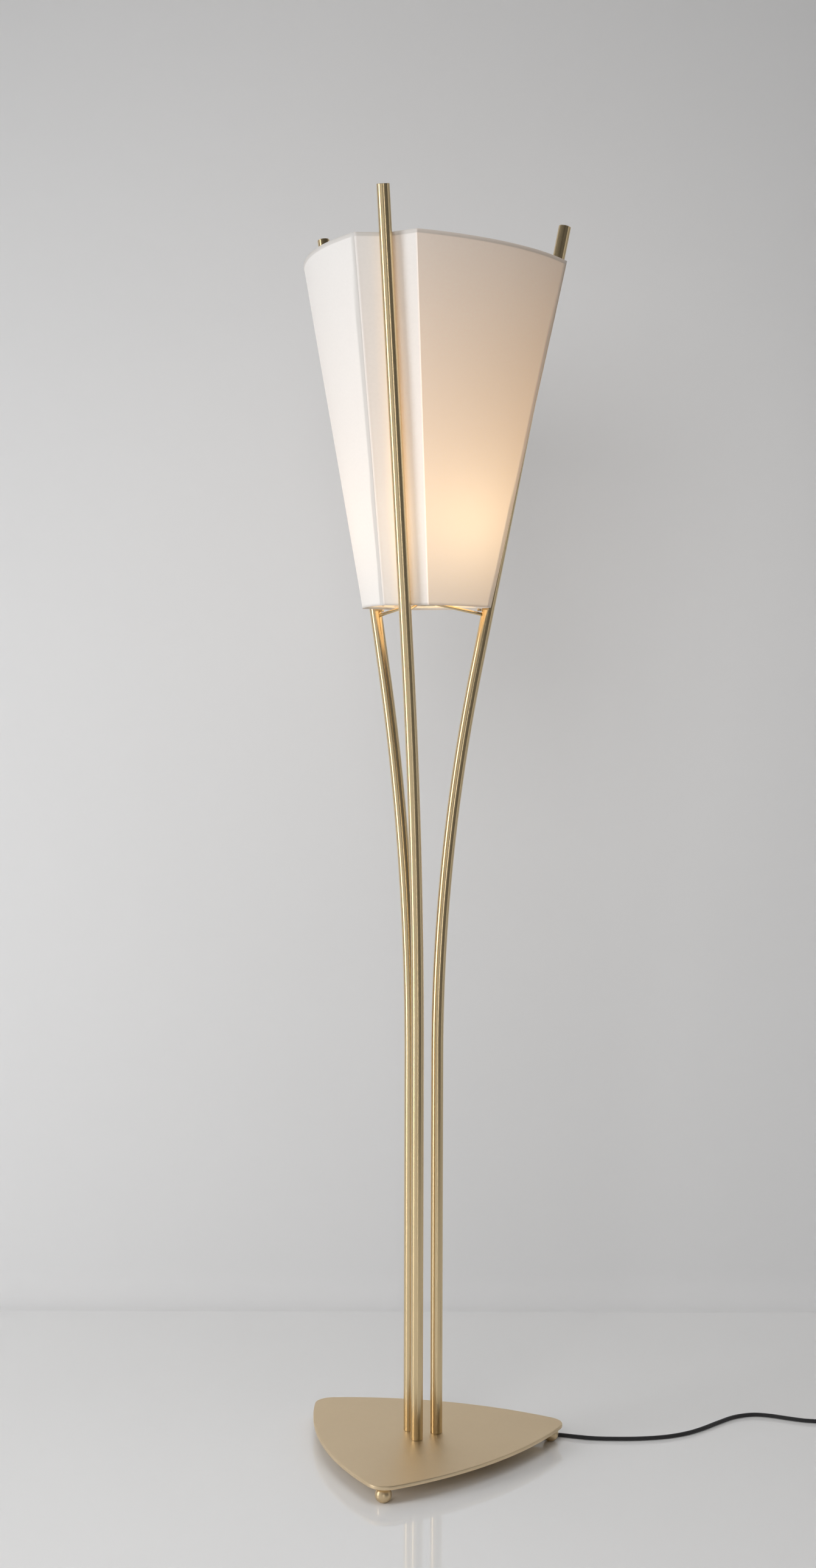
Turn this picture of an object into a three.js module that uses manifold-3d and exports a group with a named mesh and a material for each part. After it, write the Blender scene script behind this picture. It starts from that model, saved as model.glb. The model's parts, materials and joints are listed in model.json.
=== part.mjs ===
// Tripod floor lamp: three bent brass tubes on a rounded triangular base, with a grooved shade between them.
// Millimetres, +Z up. The origin is the centre of the lamp's footprint box on the floor, without the cord.
import * as THREE from "three";
import { mergeVertices } from "three/addons/utils/BufferGeometryUtils.js";
import Module from "manifold-3d";

// Driving dimensions
const GAP = 0.3; // clearance left between touching pieces
// Degrees in plan, one for each tube, foot and groove
const LEG_ANGLES = { front: -90, right: 30, left: 150 };

const PLATE_TOP = 25;
const PLATE_THICKNESS = 5;
const PLATE_CORNER_OFFSET = 170; // axis to the centre of a corner's arc
const PLATE_CORNER_R = 25;
const PLATE_SIDE_R = 505; // long convex side
const PLATE_BEVEL = 0.6;

const FOOT_R = 10.5;
const FOOT_OFFSET = 180;
const FOOT_FLAT = 0.6; // height cut off the ball to make its flat contact face
const FOOT_STUD_R = 2.4;
const FOOT_HOLE_R = 2.7;

const TUBE_R = 8;
const TUBE_WALL = 1.2;
const STEM_OFFSET = 21; // axis to a tube's centreline at the base
const BEND_START_Z = 526;
const BEND_R = 2510;
const TILT = THREE.MathUtils.degToRad(11.62);
const TUBE_TOP_Z = 1610; // centre of a tube's square-cut end

const ARM_R = 2.2;
const ARM_BORE_R = 1.6;
const ARM_HEIGHT = 1101; // where an arm's axis meets its tube's axis
const HUB_R = 16.5;
const HUB_BOTTOM = 1112.5;
const HUB_TOP = 1126;

const SHADE_BOTTOM = 1110;
const SHADE_TOP = 1557;
const SHADE_WALL = 1.2;
// Outline of the shade at its two rims: half width and distance of a groove's mouth, the groove's valley, and
// how far a panel bows out beyond the line between its corners.
const RIM_LOW = { mouthHalf: 29.5, mouthAt: 83, valleyAt: 76, bow: 7 };
const RIM_HIGH = { mouthHalf: 39.5, mouthAt: 181, valleyAt: 168, bow: 25 };
const PANEL_STEPS = 10;
const WIRE = 3; // thickness of the shade's frame wires

const NIPPLE_R = 4.7;
const NIPPLE_BORE_R = 3.5;
const THREAD_HOLE_R = 5;

const CORD_R = 2.6;
const CORD_REST = CORD_R + 0.1; // height of the cord's centre where it lies on the floor
const LEAD_R = 1.2; // insulated wires inside the tube and the arm
const CORD_SIDES = 8;

const FIXING_DEPTH = 3.5; // depth of the blind holes in the underside of the plate

// Places on the floor, measured from the lamp's axis
const CLAMP_AT = new THREE.Vector2(78, 58);
const CLAMP_TURN = 37.4; // degrees, direction of the cord through the clamp
const CLAMP_Z = 11;
const SLEEVE_LENGTH = 26;
const SWITCH_AT = new THREE.Vector2(545, 180);
const SWITCH_LENGTH = 70;
const SWITCH_WIDTH = 30;
const SWITCH_SPLIT = 6.5;
const SWITCH_TOP = 20;
const COIL_AT = new THREE.Vector2(562, 60);
const COIL_MEAN_R = 28.6;
const COIL_COLUMNS = 4;
const COIL_LAYERS = 2;
const COIL_BASE = 1;
const PLUG_AT = new THREE.Vector2(534, 1);
const PLUG_TURN = -84;

const wasm = await Module();
wasm.setup();

const finishes = {
  brass: { color: 0xa89673, roughness: 0.38, metalness: 1 },
  brightBrass: { color: 0xc9ab6a, roughness: 0.3, metalness: 1 },
  steel: { color: 0x9c9c98, roughness: 0.35, metalness: 1 },
  fabric: { color: 0xf3efe8, roughness: 0.9, metalness: 0 },
  wire: { color: 0xe8e6e0, roughness: 0.5, metalness: 0 },
  glass: { color: 0xfff6e2, roughness: 0.25, metalness: 0 },
  insulator: { color: 0xe9e4d8, roughness: 0.4, metalness: 0 },
  textile: { color: 0x161617, roughness: 0.85, metalness: 0 },
  blackPlastic: { color: 0x1b1b1c, roughness: 0.45, metalness: 0 },
};

const lamp = new THREE.Group();

// ---- helpers ------------------------------------------------------------------------------------

function addMesh(name, geometry, finish, parent = lamp) {
  const mesh = new THREE.Mesh(geometry, new THREE.MeshStandardMaterial(finishes[finish]));
  mesh.name = name;
  parent.add(mesh);
  return mesh;
}

function turnedGroup(degrees) {
  const group = new THREE.Group();
  group.rotation.z = THREE.MathUtils.degToRad(degrees);
  lamp.add(group);
  return group;
}

function toSolid(geometry) {
  const bare = geometry.index ? geometry.toNonIndexed() : geometry.clone();
  bare.deleteAttribute("normal");
  bare.deleteAttribute("uv");
  const merged = mergeVertices(bare, 1e-4);
  return new wasm.Manifold(
    new wasm.Mesh({
      numProp: 3,
      vertProperties: merged.attributes.position.array,
      triVerts: new Uint32Array(merged.index.array),
    }),
  );
}

function toGeometry(solid) {
  const mesh = solid.getMesh();
  const geometry = new THREE.BufferGeometry();
  geometry.setAttribute("position", new THREE.BufferAttribute(mesh.vertProperties, 3));
  geometry.setIndex(new THREE.BufferAttribute(mesh.triVerts, 1));
  geometry.computeVertexNormals();
  return geometry;
}

function cut(geometry, tools) {
  return toGeometry(tools.reduce((solid, tool) => solid.subtract(toSolid(tool)), toSolid(geometry)));
}

function join(geometries) {
  return toGeometry(geometries.map(toSolid).reduce((sum, solid) => sum.add(solid)));
}

// A solid of revolution about +Z, from a list of [radius, height] that runs up its outside.
function turned(profile, segments = 16) {
  const points = profile.map(([r, z]) => new THREE.Vector2(r, z));
  return new THREE.LatheGeometry(points, segments).rotateX(Math.PI / 2);
}

function ring(innerR, outerR, low, high, segments = 16) {
  return turned([[innerR, low], [outerR, low], [outerR, high], [innerR, high], [innerR, low]], segments);
}

function rod(radius, low, high, segments = 12) {
  return new THREE.CylinderGeometry(radius, radius, high - low, segments)
    .rotateX(Math.PI / 2)
    .translate(0, 0, (low + high) / 2);
}

function box(sizeX, sizeY, low, high) {
  return new THREE.BoxGeometry(sizeX, sizeY, high - low).translate(0, 0, (low + high) / 2);
}

function circleShape(radius, segments, holeRadius = 0) {
  const corners = (r) =>
    Array.from({ length: segments }, (_, i) => {
      const angle = (2 * Math.PI * i) / segments;
      return new THREE.Vector2(r * Math.cos(angle), r * Math.sin(angle));
    });
  const shape = new THREE.Shape(corners(radius));
  if (holeRadius) shape.holes.push(new THREE.Path(corners(holeRadius)));
  return shape;
}

// A smooth curve through given points, divided point by point, so that tight bends get the steps they need.
class RouteCurve extends THREE.CatmullRomCurve3 {
  constructor(points) {
    super(points, false, "centripetal");
  }
  getPointAt(u, target) {
    return this.getPoint(u, target);
  }
  getTangentAt(u, target) {
    return this.getTangent(u, target);
  }
}

function sweep(curve, radius, { steps, sides = CORD_SIDES, holeRadius = 0 }) {
  return new THREE.ExtrudeGeometry(circleShape(radius, sides, holeRadius), { extrudePath: curve, steps });
}

function roundedRectangle(sizeX, sizeY, radius) {
  const [x, y] = [sizeX / 2 - radius, sizeY / 2 - radius];
  const shape = new THREE.Shape();
  shape.absarc(x, y, radius, 0, Math.PI / 2);
  shape.absarc(-x, y, radius, Math.PI / 2, Math.PI);
  shape.absarc(-x, -y, radius, Math.PI, Math.PI * 1.5);
  shape.absarc(x, -y, radius, Math.PI * 1.5, Math.PI * 2);
  return shape;
}

function slab(shape, low, high, curveSegments = 3) {
  return new THREE.ExtrudeGeometry(shape, { depth: high - low, bevelEnabled: false, curveSegments })
    .translate(0, 0, low);
}

// ---- base plate and ball feet -------------------------------------------------------------------

// Three corner arcs joined by three long arcs that are tangent to them.
function plateShape(inset) {
  const cornerR = PLATE_CORNER_R - inset;
  const sideR = PLATE_SIDE_R - inset;
  const centreChord = PLATE_CORNER_OFFSET * Math.sqrt(3);
  const sideSpan = Math.asin(centreChord / 2 / (sideR - cornerR));
  const sideCentre = PLATE_CORNER_OFFSET / 2 - (sideR - cornerR) * Math.cos(sideSpan);
  const cornerSpan = Math.PI / 3 - sideSpan;
  const shape = new THREE.Shape();
  for (const degrees of [LEG_ANGLES.front, LEG_ANGLES.right, LEG_ANGLES.left]) {
    const corner = THREE.MathUtils.degToRad(degrees);
    const side = corner + Math.PI / 3;
    shape.absarc(
      PLATE_CORNER_OFFSET * Math.cos(corner),
      PLATE_CORNER_OFFSET * Math.sin(corner),
      cornerR,
      corner - cornerSpan,
      corner + cornerSpan,
    );
    shape.absarc(
      sideCentre * Math.cos(side),
      sideCentre * Math.sin(side),
      sideR,
      side - sideSpan,
      side + sideSpan,
    );
  }
  return shape;
}

function polar(radius, degrees, z = 0) {
  const angle = THREE.MathUtils.degToRad(degrees);
  return new THREE.Vector3(radius * Math.cos(angle), radius * Math.sin(angle), z);
}

const plateBottom = PLATE_TOP - PLATE_THICKNESS;
const clampTurn = THREE.MathUtils.degToRad(CLAMP_TURN);
const clampScrewReach = 10; // half the distance between the clamp's screws
const clampScrewPlaces = [-1, 1].map((side) =>
  new THREE.Vector3(
    CLAMP_AT.x - side * clampScrewReach * Math.sin(clampTurn),
    CLAMP_AT.y + side * clampScrewReach * Math.cos(clampTurn),
    0,
  ),
);

const plateBlank = new THREE.ExtrudeGeometry(plateShape(PLATE_BEVEL), {
  depth: PLATE_THICKNESS - 2 * PLATE_BEVEL,
  bevelThickness: PLATE_BEVEL,
  bevelSize: PLATE_BEVEL,
  bevelSegments: 1,
  curveSegments: 7,
}).translate(0, 0, plateBottom + PLATE_BEVEL);
const plateHoles = [];
for (const degrees of Object.values(LEG_ANGLES)) {
  const stem = polar(STEM_OFFSET, degrees);
  const foot = polar(FOOT_OFFSET, degrees);
  plateHoles.push(
    rod(THREAD_HOLE_R, plateBottom - 1, PLATE_TOP + 1).translate(stem.x, stem.y, 0),
    rod(FOOT_HOLE_R, plateBottom - 1, plateBottom + FIXING_DEPTH).translate(foot.x, foot.y, 0),
  );
}
for (const place of clampScrewPlaces) {
  plateHoles.push(rod(1.8, plateBottom - 1, plateBottom + FIXING_DEPTH).translate(place.x, place.y, 0));
}
addMesh("base_plate", cut(plateBlank, plateHoles), "brass");

const ballCentre = FOOT_R - FOOT_FLAT;
const ballTop = plateBottom - GAP;
const ballHoleBottom = ballTop - 8;
const ballStart = Math.asin(-ballCentre / FOOT_R);
const ballEnd = Math.asin((ballTop - ballCentre) / FOOT_R);
const BALL_STEPS = 8;
const ballProfile = [[0, 0]];
for (let i = 0; i <= BALL_STEPS; i++) {
  const angle = THREE.MathUtils.lerp(ballStart, ballEnd, i / BALL_STEPS);
  ballProfile.push([FOOT_R * Math.cos(angle), ballCentre + FOOT_R * Math.sin(angle)]);
}
ballProfile.push([FOOT_HOLE_R, ballTop], [FOOT_HOLE_R, ballHoleBottom], [0, ballHoleBottom]);

// ---- tubes, arms and their fixings --------------------------------------------------------------

// Centreline of a tube in the plane of its own lean: upright, one long bend, then straight and tilted.
const bendTop = BEND_START_Z + BEND_R * Math.sin(TILT);
const bendOut = STEM_OFFSET + BEND_R * (1 - Math.cos(TILT));
const offsetAt = (z) => bendOut + (z - bendTop) * Math.tan(TILT);

class TubeLine extends THREE.Curve {
  constructor(low, high) {
    super();
    this.upright = BEND_START_Z - low;
    this.bend = BEND_R * TILT;
    this.low = low;
    this.length = this.upright + this.bend + (high - bendTop) / Math.cos(TILT);
  }
  getPoint(t, target = new THREE.Vector3()) {
    const along = t * this.length;
    if (along < this.upright) return target.set(STEM_OFFSET, 0, this.low + along);
    const inBend = Math.min(along - this.upright, this.bend);
    const angle = inBend / BEND_R;
    const past = along - this.upright - inBend;
    return target.set(
      STEM_OFFSET + BEND_R * (1 - Math.cos(angle)) + past * Math.sin(TILT),
      0,
      BEND_START_Z + BEND_R * Math.sin(angle) + past * Math.cos(TILT),
    );
  }
}

const tubeBottom = PLATE_TOP + GAP;
const TUBE_STEPS = 12;
const TUBE_SIDES = 12;
const insertTop = tubeBottom + 21;
const insertR = TUBE_R - TUBE_WALL - GAP;
const boltBottom = plateBottom - GAP - 5.3;
const nippleBottom = 15;

// The arm's frame: its axis starts on the tube's axis and rises inwards, square to the tube.
const armStart = new THREE.Vector3(offsetAt(ARM_HEIGHT), 0, ARM_HEIGHT);
const armDirection = new THREE.Vector3(-Math.cos(TILT), 0, Math.sin(TILT));
const armPoint = (distance) => armStart.clone().addScaledVector(armDirection, distance);
const armEnd = (armStart.x - HUB_R - GAP - ARM_R * Math.sin(TILT)) / Math.cos(TILT);

function alongArm(radius, from, to, holeRadius = 0) {
  const line = new THREE.LineCurve3(armPoint(from), armPoint(to));
  return sweep(line, radius, { steps: 1, sides: 12, holeRadius });
}

// A pin under the shade's rim, level, pointing from the tube towards the lamp's axis.
const PIN_R = 1.5;
const PIN_HEIGHT = SHADE_BOTTOM - GAP - PIN_R;
const pinOuter = offsetAt(PIN_HEIGHT) - TUBE_R / Math.cos(TILT) - 0.8;
const PIN_LENGTH = 5.5;

for (const [side, degrees] of Object.entries(LEG_ANGLES)) {
  const leg = turnedGroup(degrees);
  const wired = side === "front"; // the front tube and its arm carry the wires

  const ball = addMesh(`foot_${side}`, turned(ballProfile), "brass", leg);
  ball.position.x = FOOT_OFFSET;
  const stud = addMesh(
    `foot_stud_${side}`,
    rod(FOOT_STUD_R, ballHoleBottom + GAP, plateBottom + FIXING_DEPTH - GAP),
    "steel",
    leg,
  );
  stud.position.x = FOOT_OFFSET;

  const tube = sweep(new TubeLine(tubeBottom, TUBE_TOP_Z), TUBE_R, {
    steps: TUBE_STEPS,
    sides: TUBE_SIDES,
    holeRadius: TUBE_R - TUBE_WALL,
  });
  const bored = wired ? cut(tube, [alongArm(ARM_BORE_R, 2, TUBE_R + 4)]) : tube;
  addMesh(`tube_${side}`, bored, "brass", leg);

  const boreR = wired ? THREAD_HOLE_R : THREAD_HOLE_R - 1;
  const insert = addMesh(`tube_insert_${side}`, ring(boreR, insertR, tubeBottom, insertTop), "steel", leg);
  insert.position.x = STEM_OFFSET;

  if (wired) {
    const nippleTube = ring(NIPPLE_BORE_R, NIPPLE_R, nippleBottom, insertTop - 1);
    const nipple = addMesh("base_nipple", nippleTube, "brightBrass", leg);
    nipple.position.x = STEM_OFFSET;
    const nutShape = circleShape(8, 6);
    nutShape.holes.push(circleShape(THREAD_HOLE_R, 16));
    const nut = addMesh("base_nut", slab(nutShape, plateBottom - GAP - 3.5, plateBottom - GAP), "steel", leg);
    nut.position.x = STEM_OFFSET;
  } else {
    const head = slab(circleShape(7.5, 6), boltBottom, plateBottom - GAP);
    const shank = rod(THREAD_HOLE_R - 1 - GAP, boltBottom + 1, insertTop - 1, 16);
    const bolt = addMesh(`base_bolt_${side}`, join([head, shank]), "steel", leg);
    bolt.position.x = STEM_OFFSET;
  }

  addMesh(`arm_${side}`, alongArm(ARM_R, TUBE_R + GAP, armEnd, wired ? ARM_BORE_R : 0), "brass", leg);

  const pin = sweep(
    new THREE.LineCurve3(
      new THREE.Vector3(pinOuter, 0, PIN_HEIGHT),
      new THREE.Vector3(pinOuter - PIN_LENGTH, 0, PIN_HEIGHT),
    ),
    PIN_R,
    { steps: 1, sides: 12 },
  );
  addMesh(`shade_pin_${side}`, pin, "brightBrass", leg);
}

// ---- hub, lampholder and bulb -------------------------------------------------------------------

const holderBottom = HUB_TOP + GAP;
const holderFloor = holderBottom + 17;
const holderTop = holderFloor + 33;
const insulatorTop = holderFloor + GAP + 4;
const SHELL_R = 14.3; // inner radius of the threaded shell
const CAP_R = 13.4;
const tipBottom = insulatorTop + 2;
const capBottom = tipBottom + 4;
const capTop = capBottom + 24;
const BULB_R = 30;
const bulbCentre = tipBottom + 76;

const wireHole = sweep(
  new THREE.LineCurve3(
    armPoint(armEnd - 3).applyAxisAngle(new THREE.Vector3(0, 0, 1), -Math.PI / 2),
    armPoint(armEnd + HUB_R - 1).applyAxisAngle(new THREE.Vector3(0, 0, 1), -Math.PI / 2),
  ),
  ARM_BORE_R,
  { steps: 1, sides: 12 },
);
addMesh("arm_hub", cut(ring(THREAD_HOLE_R, HUB_R, HUB_BOTTOM, HUB_TOP), [wireHole]), "brass");
addMesh("holder_nipple", ring(NIPPLE_BORE_R, NIPPLE_R, HUB_TOP - 5.5, holderFloor - 6), "brightBrass");
addMesh(
  "lampholder_body",
  turned([
    [THREAD_HOLE_R, holderBottom],
    [12, holderBottom],
    [14, holderBottom + 3],
    [14, holderBottom + 12],
    [19.5, holderFloor],
    [19.5, holderTop],
    [16, holderTop],
    [16, holderFloor],
    [THREAD_HOLE_R, holderFloor],
    [THREAD_HOLE_R, holderBottom],
  ]),
  "insulator",
);
addMesh("lampholder_insulator", ring(NIPPLE_BORE_R, 15.6, holderFloor + GAP, insulatorTop), "insulator");
addMesh("lampholder_shell", ring(SHELL_R, SHELL_R + 0.9, insulatorTop + GAP, holderTop - 3), "brightBrass");
addMesh("lampholder_contact", rod(4.6, insulatorTop + GAP, tipBottom - GAP), "brightBrass");

addMesh(
  "bulb_tip",
  turned([
    [0, tipBottom],
    [4, tipBottom],
    [5.5, tipBottom + 1],
    [9.5, capBottom - GAP],
    [0, capBottom - GAP],
  ]),
  "steel",
);
const CAP_WALL = 0.8;
addMesh(
  "bulb_cap",
  turned([
    [0, capBottom],
    [CAP_R - 2, capBottom],
    [CAP_R, capBottom + 2.5],
    [CAP_R, capTop],
    [CAP_R - CAP_WALL, capTop],
    [CAP_R - CAP_WALL, capBottom + 3],
    [0, capBottom + 1.2],
  ]),
  "steel",
);
// A short neck that widens to a round globe; hollow, and open at the bottom of the neck.
const GLASS_WALL = 1;
const NECK_R = CAP_R + 0.3;
const BULB_STEPS = 7;
const neckAngle = -Math.acos(NECK_R / BULB_R);
const bulbOuter = [];
const bulbInner = [];
for (let i = 0; i <= BULB_STEPS; i++) {
  const angle = THREE.MathUtils.lerp(neckAngle, Math.PI / 2, i / BULB_STEPS);
  const radial = i === BULB_STEPS ? 0 : Math.cos(angle);
  bulbOuter.push([BULB_R * radial, bulbCentre + BULB_R * Math.sin(angle)]);
  bulbInner.unshift([(BULB_R - GLASS_WALL) * radial, bulbCentre + (BULB_R - GLASS_WALL) * Math.sin(angle)]);
}
const bulbProfile = [
  [NECK_R - 1.2, capTop + GAP],
  ...bulbOuter,
  ...bulbInner,
  [NECK_R - 1.2 - GLASS_WALL, capTop + GAP],
  [NECK_R - 1.2, capTop + GAP],
];
addMesh("bulb_glass", turned(bulbProfile), "glass");

// ---- wires inside the front tube and arm --------------------------------------------------------

const frontLeg = turnedGroup(LEG_ANGLES.front);
const leadBottom = 66; // above the end of the thick cord
const upTube = new THREE.Vector3(Math.sin(TILT), 0, Math.cos(TILT));
const leadTurn = 5.5; // radius of the wires' bend from the tube into the arm
const leadPoints = [
  new THREE.Vector3(STEM_OFFSET, 0, leadBottom),
  new THREE.Vector3(STEM_OFFSET, 0, BEND_START_Z / 2),
  new THREE.Vector3(STEM_OFFSET, 0, BEND_START_Z),
];
const LEAD_BEND_STEPS = 4;
for (let i = 1; i <= LEAD_BEND_STEPS; i++) {
  const angle = (TILT * i) / LEAD_BEND_STEPS;
  const outward = STEM_OFFSET + BEND_R * (1 - Math.cos(angle));
  leadPoints.push(new THREE.Vector3(outward, 0, BEND_START_Z + BEND_R * Math.sin(angle)));
}
leadPoints.push(armStart.clone().addScaledVector(upTube, -2 * leadTurn));
for (let i = 0; i <= LEAD_BEND_STEPS; i++) {
  const angle = (Math.PI / 2) * (i / LEAD_BEND_STEPS);
  leadPoints.push(
    armPoint(leadTurn * (1 - Math.cos(angle))).addScaledVector(upTube, -leadTurn * (1 - Math.sin(angle))),
  );
}
leadPoints.push(
  armPoint(2 * leadTurn),
  armPoint(armEnd / 2),
  armPoint(armEnd - 4),
  armPoint((armStart.x - THREAD_HOLE_R) / Math.cos(TILT)),
  new THREE.Vector3(2.6, 0, HUB_TOP - 7.6),
  new THREE.Vector3(0.8, 0, HUB_TOP - 6),
  new THREE.Vector3(0, 0, HUB_TOP - 3.5),
  new THREE.Vector3(0, 0, holderFloor - 4),
);
const wireSteps = 2 * (leadPoints.length - 1);
const wireSweep = sweep(new RouteCurve(leadPoints), LEAD_R, { steps: wireSteps, sides: 6 });
addMesh("stem_wires", wireSweep, "blackPlastic", frontLeg);

// ---- shade --------------------------------------------------------------------------------------

// Points round the shade at one height, as [x, y], counter-clockwise from the front groove's valley.
function shadeOutline(z, inset) {
  const share = (z - SHADE_BOTTOM) / (SHADE_TOP - SHADE_BOTTOM);
  const at = (key) => THREE.MathUtils.lerp(RIM_LOW[key], RIM_HIGH[key], share);
  const cornerR = Math.hypot(at("mouthHalf"), at("mouthAt"));
  const cornerTurn = Math.atan2(at("mouthHalf"), at("mouthAt"));
  const halfChord = cornerR * Math.sin(Math.PI / 3 - cornerTurn);
  const panelR = (halfChord ** 2 + at("bow") ** 2) / (2 * at("bow"));
  const panelCentre = cornerR * Math.cos(Math.PI / 3 - cornerTurn) + at("bow") - panelR;
  const halfSpan = Math.asin(halfChord / panelR);
  const points = [];
  for (let k = 0; k < 3; k++) {
    const groove = THREE.MathUtils.degToRad(LEG_ANGLES.front + 120 * k);
    const facing = groove + Math.PI / 3;
    points.push([at("valleyAt") * Math.cos(groove), at("valleyAt") * Math.sin(groove)]);
    for (let i = 0; i <= PANEL_STEPS; i++) {
      const angle = facing + THREE.MathUtils.lerp(-halfSpan, halfSpan, i / PANEL_STEPS);
      points.push([
        panelCentre * Math.cos(facing) + panelR * Math.cos(angle),
        panelCentre * Math.sin(facing) + panelR * Math.sin(angle),
      ]);
    }
  }
  return inset ? insetOutline(points, inset) : points;
}

// The outline moved inwards by one distance, with mitred corners.
function insetOutline(points, distance) {
  const count = points.length;
  return points.map(([x, y], i) => {
    const [beforeX, beforeY] = points[(i + count - 1) % count];
    const [afterX, afterY] = points[(i + 1) % count];
    const into = new THREE.Vector2(x - beforeX, y - beforeY).normalize();
    const out = new THREE.Vector2(afterX - x, afterY - y).normalize();
    const inward = new THREE.Vector2(-(into.y + out.y), into.x + out.x).normalize();
    const miter = distance / (inward.x * -into.y + inward.y * into.x);
    return [x + inward.x * miter, y + inward.y * miter];
  });
}

// Faces that join loops of points into a closed ring, loop by loop; capped when the loops are open strips.
function bandGeometry(loops, closed) {
  const count = loops[0].length;
  const geometry = new THREE.BufferGeometry();
  geometry.setAttribute("position", new THREE.Float32BufferAttribute(loops.flat(2), 3));
  const faces = [];
  const columns = closed ? count : count - 1;
  for (let loop = 0; loop < 4; loop++) {
    const here = loop * count;
    const above = ((loop + 1) % 4) * count;
    for (let i = 0; i < columns; i++) {
      const next = (i + 1) % count;
      faces.push(here + i, here + next, above + next, here + i, above + next, above + i);
    }
  }
  if (!closed) {
    const last = count - 1;
    faces.push(0, count, 2 * count, 0, 2 * count, 3 * count);
    faces.push(last, last + 2 * count, last + count, last, last + 3 * count, last + 2 * count);
  }
  geometry.setIndex(faces);
  geometry.computeVertexNormals();
  return geometry;
}

// A closed band between two insets of the shade's outline, from one height to another.
function shadeBand(outerInset, innerInset, low, high) {
  const loops = [
    [low, outerInset],
    [high, outerInset],
    [high, innerInset],
    [low, innerInset],
  ].map(([z, inset]) => shadeOutline(z, inset).map(([x, y]) => [x, y, z]));
  return bandGeometry(loops, true);
}

// One piece of the fabric: a groove's two flanks and the panel that follows it, up to the next groove's edge.
function shadePiece(index) {
  const perPiece = PANEL_STEPS + 2;
  const towards = ([x, y], [nextX, nextY]) => {
    const share = GAP / 2 / Math.hypot(nextX - x, nextY - y);
    return [x + (nextX - x) * share, y + (nextY - y) * share];
  };
  const strip = (z, inset) => {
    const outline = shadeOutline(z, inset);
    const first = index * perPiece - 1 + outline.length;
    const points = Array.from({ length: perPiece + 1 }, (_, i) => outline[(first + i) % outline.length]);
    const end = points.length - 1;
    const [start, finish] = [towards(points[0], points[1]), towards(points[end], points[end - 1])];
    return [start, ...points.slice(1, end), finish].map(([x, y]) => [x, y, z]);
  };
  const loops = [
    strip(SHADE_BOTTOM, 0),
    strip(SHADE_TOP, 0),
    strip(SHADE_TOP, SHADE_WALL),
    strip(SHADE_BOTTOM, SHADE_WALL),
  ];
  return bandGeometry(loops, false);
}

const wireOuter = SHADE_WALL + GAP;
const wireInner = wireOuter + WIRE;
const lowWireTop = SHADE_BOTTOM + 1 + WIRE;
const highWireBottom = SHADE_TOP - 1 - WIRE;
for (const [index, side] of ["right", "rear", "left"].entries()) {
  addMesh(`shade_panel_${side}`, shadePiece(index), "fabric");
}
addMesh("shade_wire_low", shadeBand(wireOuter, wireInner, SHADE_BOTTOM + 1, lowWireTop), "wire");
addMesh("shade_wire_high", shadeBand(wireOuter, wireInner, highWireBottom, SHADE_TOP - 1), "wire");

const ribLow = lowWireTop + GAP;
const ribHigh = highWireBottom - GAP;
const RIB_R = WIRE / 2;
for (const [side, degrees] of Object.entries(LEG_ANGLES)) {
  const valleyAt = (z) => {
    const [x, y] = shadeOutline(z, SHADE_WALL + GAP + RIB_R)[0];
    return Math.hypot(x, y) - GAP;
  };
  const line = new THREE.LineCurve3(
    new THREE.Vector3(valleyAt(ribLow), 0, ribLow),
    new THREE.Vector3(valleyAt(ribHigh), 0, ribHigh),
  );
  const rib = sweep(line, RIB_R, { steps: 1, sides: 8 });
  addMesh(`shade_rib_${side}`, rib, "wire", turnedGroup(degrees));
}

// ---- cord under the plate -----------------------------------------------------------------------

const clampGroup = new THREE.Group();
clampGroup.position.set(CLAMP_AT.x, CLAMP_AT.y, 0);
clampGroup.rotation.z = clampTurn;
lamp.add(clampGroup);
const CLAMP_LENGTH = 11;
const CLAMP_WIDTH = 28;
const CORD_HOLE_R = CORD_R + GAP;
const levelRod = (radius, from, to, z, segments = 12) =>
  rod(radius, from, to, segments).rotateY(Math.PI / 2).translate(0, 0, z);
const clampBlock = slab(roundedRectangle(CLAMP_LENGTH, CLAMP_WIDTH, 2), CLAMP_Z - 4.6, plateBottom - GAP, 3);
const clampScrewHoles = [-1, 1].map((side) =>
  rod(1.8, 0, plateBottom).translate(0, side * clampScrewReach, 0),
);
addMesh(
  "cord_clamp",
  cut(clampBlock, [levelRod(CORD_HOLE_R, -20, 20, CLAMP_Z, 16), ...clampScrewHoles]),
  "blackPlastic",
  clampGroup,
);
for (const [index, side] of [-1, 1].entries()) {
  const screwTop = plateBottom + FIXING_DEPTH - GAP;
  const headTop = CLAMP_Z - 4.6 - GAP;
  const screw = join([rod(3, headTop - 2, headTop, 12), rod(1.5, headTop - 1, screwTop, 12)]);
  const mesh = addMesh(`clamp_screw_${index + 1}`, screw, "steel", clampGroup);
  mesh.position.y = side * clampScrewReach;
}
const sleeveStart = CLAMP_LENGTH / 2 + GAP;
const sleeve = turned([
  [CORD_HOLE_R, 0],
  [4.6, 0],
  [4.6, 4],
  [3.5, SLEEVE_LENGTH],
  [CORD_HOLE_R, SLEEVE_LENGTH],
  [CORD_HOLE_R, 0],
], 16).rotateY(Math.PI / 2).translate(sleeveStart, 0, CLAMP_Z);
addMesh("strain_relief", sleeve, "blackPlastic", clampGroup);

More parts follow.
